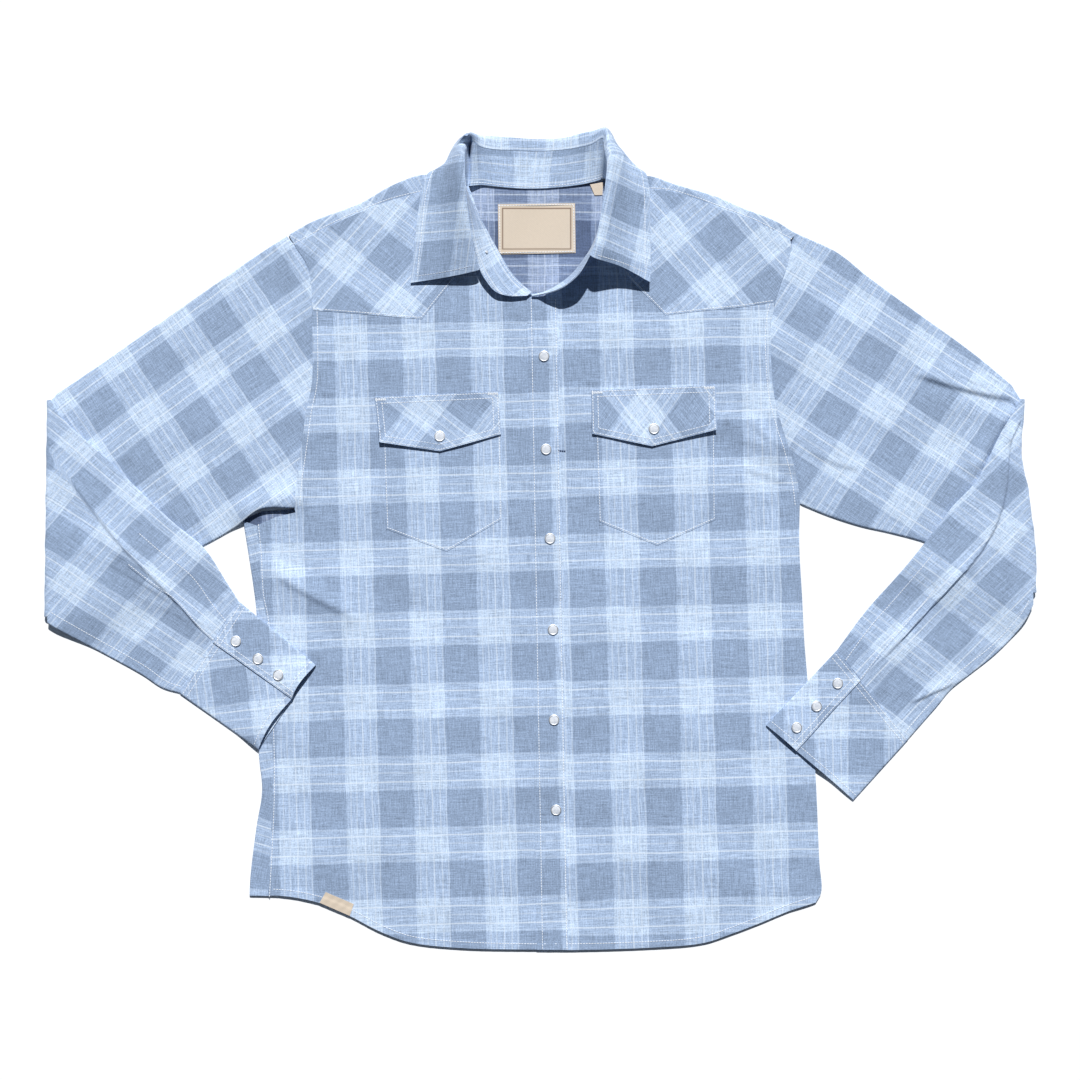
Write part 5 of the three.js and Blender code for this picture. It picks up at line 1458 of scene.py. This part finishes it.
def snap_tree():
    """A snap at every point: a rolled metal rim and skirt round a domed pearl cap."""
    tree, names = node_tree("pearl_snaps", [
        ("Diameter", "NodeSocketFloat"), ("Pearl", "NodeSocketMaterial"), ("Metal", "NodeSocketMaterial"),
    ])
    group = add_node(tree, "NodeGroupInput")
    sizes = {}
    for label, share in (("rim", 0.43), ("roll", 0.07), ("dome", 0.385), ("rise", 0.045), ("skirt", 0.44), ("deep", 0.1)):
        sizes[label] = add_node(tree, "ShaderNodeMath", {"operation": "MULTIPLY"}, {1: share},
                                {0: group.outputs["Diameter"]}).outputs[0]
    circle = add_node(tree, "GeometryNodeCurvePrimitiveCircle", {}, {"Resolution": 56}, {"Radius": sizes["rim"]})
    profile = add_node(tree, "GeometryNodeCurvePrimitiveCircle", {}, {"Resolution": 14}, {"Radius": sizes["roll"]})
    rim = add_node(tree, "GeometryNodeCurveToMesh", {}, {},
                   {"Curve": circle.outputs["Curve"], "Profile Curve": profile.outputs["Curve"]})
    rim_up = add_node(tree, "GeometryNodeTransform", {}, {"Translation": (0, 0, 0.00065), "Scale": (1, 1, 0.85)}, {"Geometry": rim.outputs["Mesh"]})
    skirt = add_node(tree, "GeometryNodeMeshCylinder", {}, {"Vertices": 36},
                     {"Radius": sizes["skirt"], "Depth": sizes["deep"]})
    skirt_up = add_node(tree, "GeometryNodeTransform", {}, {"Translation": (0, 0, 0.00045)},
                        {"Geometry": skirt.outputs["Mesh"]})
    metal_parts = add_node(tree, "GeometryNodeJoinGeometry")
    for part in (rim_up, skirt_up):
        tree.links.new(part.outputs["Geometry"], metal_parts.inputs["Geometry"])
    metal = add_node(tree, "GeometryNodeSetMaterial", {}, {},
                     {"Geometry": metal_parts.outputs["Geometry"], "Material": group.outputs["Metal"]})
    ball = add_node(tree, "GeometryNodeMeshUVSphere", {}, {"Segments": 32, "Rings": 16, "Radius": 1.0})
    flat = add_node(tree, "ShaderNodeCombineXYZ", {}, {},
                    {"X": sizes["dome"], "Y": sizes["dome"], "Z": sizes["rise"]})
    dome = add_node(tree, "GeometryNodeTransform", {}, {"Translation": (0, 0, 0.001)},
                    {"Geometry": ball.outputs["Mesh"], "Scale": flat.outputs[0]})
    pearl = add_node(tree, "GeometryNodeSetMaterial", {}, {},
                     {"Geometry": dome.outputs["Geometry"], "Material": group.outputs["Pearl"]})
    whole = add_node(tree, "GeometryNodeJoinGeometry")
    for part in (metal, pearl):
        tree.links.new(part.outputs["Geometry"], whole.inputs["Geometry"])
    facing = add_node(tree, "GeometryNodeInputNamedAttribute", {"data_type": "FLOAT_VECTOR"}, {"Name": "facing"})
    turn = add_node(tree, "FunctionNodeAlignRotationToVector", {"axis": "Z"}, {}, {"Vector": facing.outputs["Attribute"]})
    placed = add_node(tree, "GeometryNodeInstanceOnPoints", {}, {}, {
        "Points": group.outputs["Geometry"], "Instance": whole.outputs["Geometry"], "Rotation": turn.outputs["Rotation"]})
    real = add_node(tree, "GeometryNodeRealizeInstances", {}, {}, {"Geometry": placed.outputs["Instances"]})
    soft = add_node(tree, "GeometryNodeSetShadeSmooth", {}, {}, {"Geometry": real.outputs["Geometry"]})
    add_node(tree, "NodeGroupOutput", {}, {}, {"Geometry": soft.outputs["Geometry"]})
    return tree, names


def grown(name, points, edges, tree, names, values, attributes=None):
    """A plain mesh made by a tree from points and edges in the frame, in millimetres."""
    mesh = bpy.data.meshes.new(name)
    mesh.from_pydata((np.asarray(points) / 1000).tolist(), edges, [])
    for key, vectors in (attributes or {}).items():
        mesh.attributes.new(key, "FLOAT_VECTOR", "POINT").data.foreach_set("vector", np.asarray(vectors, np.float32).ravel())
    obj = bpy.data.objects.new(name, mesh)
    bpy.context.scene.collection.objects.link(obj)
    modifier = obj.modifiers.new(name, "NODES")
    modifier.node_group = tree
    for label, value in values.items():
        modifier[names[label]] = value
    bpy.context.view_layer.update()
    graph = bpy.context.evaluated_depsgraph_get()
    made = bpy.data.meshes.new_from_object(obj.evaluated_get(graph), depsgraph=graph)
    obj.modifiers.clear()
    obj.data = made
    made.name = name
    bpy.data.meshes.remove(mesh)
    if not len(made.polygons):
        raise RuntimeError(f"{name}: the tree gave no faces")
    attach(obj, "root")
    return obj


def surface_normal(height, x, y):
    """Way up of a height over the lay, in the frame."""
    e = 2.0
    dx = float(height(np.array([x + e]), np.array([y]))[0] - height(np.array([x - e]), np.array([y]))[0]) / (2 * e)
    dy = float(height(np.array([x]), np.array([y + e]))[0] - height(np.array([x]), np.array([y - e]))[0]) / (2 * e)
    way = np.array([-dx, dy, 1.0])
    return way / np.linalg.norm(way)


class SHIRT_OT_snaps(bpy.types.Operator):
    """Pearl snaps of the front band, the flaps and the cuffs, and the stud at the collar"""
    bl_idname = "shirt.snaps"
    bl_label = "Snaps"

    def execute(self, context):
        c = context.scene.shirt_colours
        pearl = pearl_cap("pearl_plastic_cap", to_hex(c.pearl), "#c8cfda")
        metal = plated_brass("nickel_plated_brass", to_hex(c.metal))
        points, facing, nodes = [], [], []
        for i, (x, y) in enumerate(SNAPS_FRONT):
            z = float(front_height(np.array([x]), np.array([y]))[0]) + ON_TOP + THIN / 2
            points.append(lay_to_model([(x, y, z)])[0])
            facing.append(surface_normal(front_height, x, y))
            nodes.append(f"snap_front_{i + 1}")
        for side, x, y in SNAPS_FLAP:
            height = flap_height(side)
            z = float(height(np.array([x]), np.array([y]))[0]) + CLOTH / 2
            points.append(lay_to_model([(x, y, z)])[0])
            facing.append(surface_normal(height, x, y))
            nodes.append(f"snap_flap_{side}")
        for side, places in SNAPS_CUFF.items():
            for i, (t, s) in enumerate(places):
                cross = cuff_layer(side, t, np.array([s, s + 0.03]), True, DOUBLED + 0.3)
                along = cuff_layer(side, t + 0.03, np.array([s]), True, DOUBLED + 0.3)
                a, b, d = lay_to_model(np.vstack([cross, along]))
                way = np.cross(b - a, d - a)
                way *= np.sign(way[2]) / np.linalg.norm(way)
                points.append(a + way * DOUBLED / 2)
                facing.append(way)
                nodes.append(f"snap_cuff_{side}_{i + 1}")
        tree, names = snap_tree()
        snaps = grown("pearl_snap_set", points, [], tree, names, {
            "Diameter": context.scene.shirt_sewing.snap_diameter, "Pearl": pearl, "Metal": metal,
        }, {"facing": facing})
        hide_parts(*nodes)
        grid = stand_grid()
        where = lifted_path(grid, [(22, 4), (22, 4.5)], DOUBLED / 2)
        normal = lifted_path(grid, [(22, 4)], 1.0)[0] - lifted_path(grid, [(22, 4)], 0.0)[0]
        if normal[2] < 0:
            normal = -normal
            where = lifted_path(grid, [(22, 4), (22, 4.5)], -DOUBLED / 2)
        stud = grown("collar_stud", where[:1], [], tree, names, {"Diameter": 0.0034, "Pearl": pearl, "Metal": metal},
                     {"facing": [normal]})
        return {"FINISHED"}


def on_cloth(run, height, lift):
    """A run of the lay raised on to the top of a cloth."""
    run = stepped(run, 3.0)
    z = height(run[:, 0], run[:, 1]) + lift
    return lay_to_model(np.column_stack([run, z]))


def inset_outline(corners, distance):
    """The sides of a many-cornered piece moved inwards, from its second corner round to the first."""
    corners = np.asarray(corners, float)
    n = len(corners)
    middle = corners.mean(axis=0)
    lines = []
    for i in range(n):
        a, b = corners[i], corners[(i + 1) % n]
        d = (b - a) / np.linalg.norm(b - a)
        side = np.array([-d[1], d[0]])
        if (middle - a) @ side < 0:
            side = -side
        lines.append((a + side * distance, d))
    out = []
    for i in range(n):
        (p, d), (q, e) = lines[i - 1], lines[i]
        t = np.linalg.solve(np.column_stack([d, -e]), q - p)
        out.append(p + d * t[0])
    return np.array(out)


def body_runs():
    """Runs of stitching on the body."""
    top = CLOTH / 2 + THREAD_LIFT
    runs = []

    def on_front(run, level=0):
        return on_cloth(run, front_height, top + level * (THIN + 0.03))

    for side, sign in (("left", -1), ("right", 1)):
        arm = offset(ARMHOLE_RUN[side], 5.2 * sign)
        runs.append(on_front(arm[(arm[:, 1] > 246) & (arm[:, 1] < 506)]))
    hem = offset(HEM_RUN, -6.2)
    runs.append(on_front(hem[(hem[:, 0] > 274) & (hem[:, 0] < 812)]))
    for side in ("left", "right"):
        yoke = np.array(YOKE_POINTS[side], float)
        closed = np.vstack([yoke, yoke[-1] + [0, -60], yoke[0] + [0, -30]])
        inner = inset_outline(closed, 1.6)[: len(yoke)]
        runs.append(on_front(inner, 1))
        pocket = inset_outline(POCKETS[side], 1.7)
        runs.append(on_front(pocket, 1))
        corners, _ = FLAPS[side]
        height = flap_height(side)
        for distance in (1.5, 6.6):
            flap = inset_outline(corners, distance)
            runs.append(on_cloth(np.vstack([flap, flap[:1]]), height, top))
    for x0, x1 in ((531.2, 542.6), (555.4, 566.8)):
        runs.append(on_front([(x0, 300), (x1, 947)], 1))
    seam = offset(through(SIDE_SEAM_LEFT, 80), -1.8)
    runs.append(on_front(seam))
    return runs


def shoulder_runs():
    """Edge stitching on the strips of the back yoke that come over the shoulders."""
    z = CLOTH + 2 * FOLD_RADIUS + THREAD_LIFT
    runs = []
    for side in ("left", "right"):
        run = offset(through(SHOULDER_SEAM[side], 80), -1.9 if side == "left" else 1.9)
        runs.append(lay_to_model(np.column_stack([run, np.full(len(run), z)])))
    return runs


def sleeve_runs():
    """Stitching on cuffs and sleeve plackets."""
    runs = []
    lift = DOUBLED / 2 + THREAD_LIFT
    for side in ("left", "right"):
        lap0, lap1 = CUFF[side]["lap"]
        along = np.linspace(0.02, 0.98, 40)
        for t in (0.025, 0.075, 0.94):
            lap = lap0 + (lap1 - lap0) * t
            over = np.linspace(0.02, lap - 0.015, 24)
            runs.append(lay_to_model(cuff_layer(side, t, over, True, lap_level(over, lap) + lift)))
            rest = np.linspace(lap + 0.01, 0.98, 24)
            runs.append(lay_to_model(cuff_layer(side, t, rest, True, lift)))
        for inset in (0.015, 0.06):
            rows = []
            for t in along:
                lap = lap0 + (lap1 - lap0) * t
                s = np.array([lap - inset])
                rows.append(cuff_layer(side, t, s, True, lap_level(s, lap) + lift)[0])
            runs.append(lay_to_model(rows))
        seam = np.linspace(0.04, 0.98, 110)
        runs.append(lay_to_model(forearm_top(side, seam, np.full(110, 0.94), CLOTH / 2 + THREAD_LIFT)))
        start, (first, last) = SLEEVE_PLACKET[side]
        spread = np.linspace(start + 0.05, 0.995, 50)
        for share in (first + 0.012, last - 0.012):
            runs.append(lay_to_model(forearm_top(side, spread, np.full(50, share), ON_TOP + 0.12 + THIN / 2 + THREAD_LIFT)))
    return runs


def facing_up(grid, row, column):
    a = lifted_path(grid, [(row, column)], 1.0)[0] - lifted_path(grid, [(row, column)], 0.0)[0]
    return 1 if a[2] > 0 else -1


def collar_runs():
    """Stitching on the collar's leaf and stand, and round the label."""
    runs = []
    leaf, stand = leaf_grid(), stand_grid()
    lift = DOUBLED / 2 + THREAD_LIFT
    rows, columns = leaf.shape[:2]
    flip = facing_up(leaf, 10, 20)
    sizes = np.array([length_of(row) for row in leaf])
    near_edge = [(r, (columns - 1) * (1 - 6.2 / sizes[r])) for r in range(3, 52)]
    step = np.linalg.norm(leaf[4, 20] - leaf[0, 20]) / 4
    front = [(5.8 / step, c) for c in np.linspace(3, columns - 3.2, 30)]
    runs.append(lifted_path(leaf, front, lift, flip=flip))
    runs.append(lifted_path(leaf, near_edge, lift, flip=flip))
    near_edge = [(r, (columns - 1) * (1 - 6.2 / sizes[r])) for r in range(rows - 52, rows - 3)]
    step = np.linalg.norm(leaf[-5, 20] - leaf[-1, 20]) / 4
    back = [(rows - 1 - 5.8 / step, c) for c in np.linspace(3, columns - 3.2, 30)]
    runs.append(lifted_path(leaf, near_edge, lift, flip=flip))
    runs.append(lifted_path(leaf, back, lift, flip=flip))
    count = len(stand)
    flip = facing_up(stand, count // 2, 4)
    for column, start, stop in ((0.45, 60, count - 55), (7.4, 3, 26), (0.6, 3, 26)):
        runs.append(lifted_path(stand, [(r, column) for r in range(start, stop)], lift, flip=flip))
    z = 1.0 + 0.5 + THREAD_LIFT + 0.5
    label = inset_outline([(498, 204), (575, 203), (575.6, 252.6), (498.6, 254)], 1.4)
    closed = stepped(np.vstack([label, label[:1]]), 3)
    runs.append(lay_to_model(np.column_stack([closed, np.full(len(closed), z)])))
    return runs


class SHIRT_OT_stitching(bpy.types.Operator):
    """Topstitching of the body, sleeves and collar, and the bar tacks of the flaps"""
    bl_idname = "shirt.stitching"
    bl_label = "Stitching"

    def execute(self, context):
        sewing, c = context.scene.shirt_sewing, context.scene.shirt_colours
        thread = cotton_thread("cotton_sewing_thread", to_hex(c.thread), "#dbe5f2")
        tree, names = stitch_tree()
        jobs = {
            "stitches_body": body_runs(), "stitches_shoulders": shoulder_runs(), "stitches_sleeves": sleeve_runs(),
            "stitches_collar": collar_runs(),
        }
        values = {"Pitch": sewing.stitch_pitch, "Length": sewing.stitch_length, "Width": sewing.thread_width,
                  "Material": thread}
        for name, runs in jobs.items():
            sewn(name, runs, tree, names, values)
        tacks = []
        for side in ("left", "right"):
            (ax, ay), (bx, by) = FLAPS[side][0][:2]
            height = flap_height(side)
            for x, y in ((ax + 1.5, ay + 2.2), (bx - 10.5, by + 2.4)):
                for k in range(3):
                    tacks.append(on_cloth([(x, y + 0.55 * k), (x + 9, y - 0.35 + 0.55 * k)], height, CLOTH / 2 + THREAD_LIFT))
        values = dict(values, Pitch=0.0016, Length=0.0019, Width=0.00075)
        sewn("bar_tacks", tacks, tree, names, values)
        # A dark tack beside the second snap, sewn through the band
        navy = cotton_thread("navy_sewing_thread", "#3a5078", "#22355a")
        tack = [on_cloth([(558.6, 450 + k), (564.6, 450.4 + k)], front_height, ON_TOP + THIN / 2 + THREAD_LIFT) for k in (0, 0.8)]
        sewn("band_tack", tack, tree, names, dict(values, Material=navy))
        return {"FINISHED"}


def sewn(name, runs, tree, names, values):
    points, edges = [], []
    for run in runs:
        start = len(points)
        points.extend(np.asarray(run))
        edges.extend((start + k, start + k + 1) for k in range(len(run) - 1))
    return grown(name, points, edges, tree, names, values)


class SHIRT_OT_stage(bpy.types.Operator):
    """Laying surface, light and the camera that looks straight down"""
    bl_idname = "shirt.stage"
    bl_label = "Stage"

    def execute(self, context):
        stage, c = context.scene.shirt_stage, context.scene.shirt_colours
        mesh = bpy.data.meshes.new("laying_table")
        half = 6.0
        mesh.from_pydata([(-half, -half, -0.0002), (half, -half, -0.0002), (half, half, -0.0002), (-half, half, -0.0002)],
                         [], [(0, 1, 2, 3)])
        floor = bpy.data.objects.new("laying_table", mesh)
        mesh.materials.append(laying_paper("white_backdrop_paper", to_hex(c.paper)))
        context.scene.collection.objects.link(floor)
        world = bpy.data.worlds.new("studio")
        world.use_nodes = True
        world.node_tree.nodes["Background"].inputs["Color"].default_value = (0.6, 0.76, 1.0, 1.0)
        world.node_tree.nodes["Background"].inputs["Strength"].default_value = stage.fill
        context.scene.world = world
        # Colours as a camera gives them, without a film look
        context.scene.view_settings.view_transform = "Standard"
        light = bpy.data.lights.new("key_light", "SUN")
        light.energy = stage.sun_strength
        light.angle = math.radians(1.2)
        key = bpy.data.objects.new("key_light", light)
        way = Vector((0.04, math.cos(stage.sun_height), math.sin(stage.sun_height)))
        key.rotation_euler = way.to_track_quat("Z", "Y").to_euler()
        context.scene.collection.objects.link(key)
        camera_data = bpy.data.cameras.new("camera")
        camera_data.lens = stage.lens
        camera_data.sensor_width = 36
        camera_data.clip_end = 50
        camera = bpy.data.objects.new("camera", camera_data)
        camera.location = (0, 0, stage.camera_height)
        context.scene.collection.objects.link(camera)
        context.scene.camera = camera
        return {"FINISHED"}


class SHIRT_PT_pieces(bpy.types.Panel):
    """Lists the shirt's pieces and their settings"""
    bl_label = "Western snap shirt"
    bl_idname = "SHIRT_PT_pieces"
    bl_space_type = "VIEW_3D"
    bl_region_type = "UI"
    bl_category = "Shirt"

    def draw(self, context):
        for operator in OPERATORS:
            self.layout.operator(operator.bl_idname)
        for group in GROUPS:
            settings = getattr(context.scene, group)
            for key in settings.bl_rna.properties.keys():
                if key not in ("rna_type", "name"):
                    self.layout.prop(settings, key)


OPERATORS = (
    SHIRT_OT_stage, SHIRT_OT_back, SHIRT_OT_fronts, SHIRT_OT_front_pieces, SHIRT_OT_sleeves, SHIRT_OT_cuffs,
    SHIRT_OT_collar, SHIRT_OT_labels, SHIRT_OT_snaps, SHIRT_OT_stitching,
)
GROUPS = {"shirt_colours": ShirtColours, "shirt_sewing": ShirtSewing, "shirt_stage": ShirtStage}
CLASSES = (*GROUPS.values(), *OPERATORS, SHIRT_PT_pieces)


def register():
    for cls in CLASSES:
        bpy.utils.register_class(cls)
    for name, cls in GROUPS.items():
        setattr(bpy.types.Scene, name, PointerProperty(type=cls))


def unregister():
    for name in GROUPS:
        delattr(bpy.types.Scene, name)
    for cls in reversed(CLASSES):
        bpy.utils.unregister_class(cls)


def main():
    register()
    for operator in OPERATORS:
        family, name = operator.bl_idname.split(".")
        getattr(getattr(bpy.ops, family), name)()


if __name__ == "__main__":
    main()
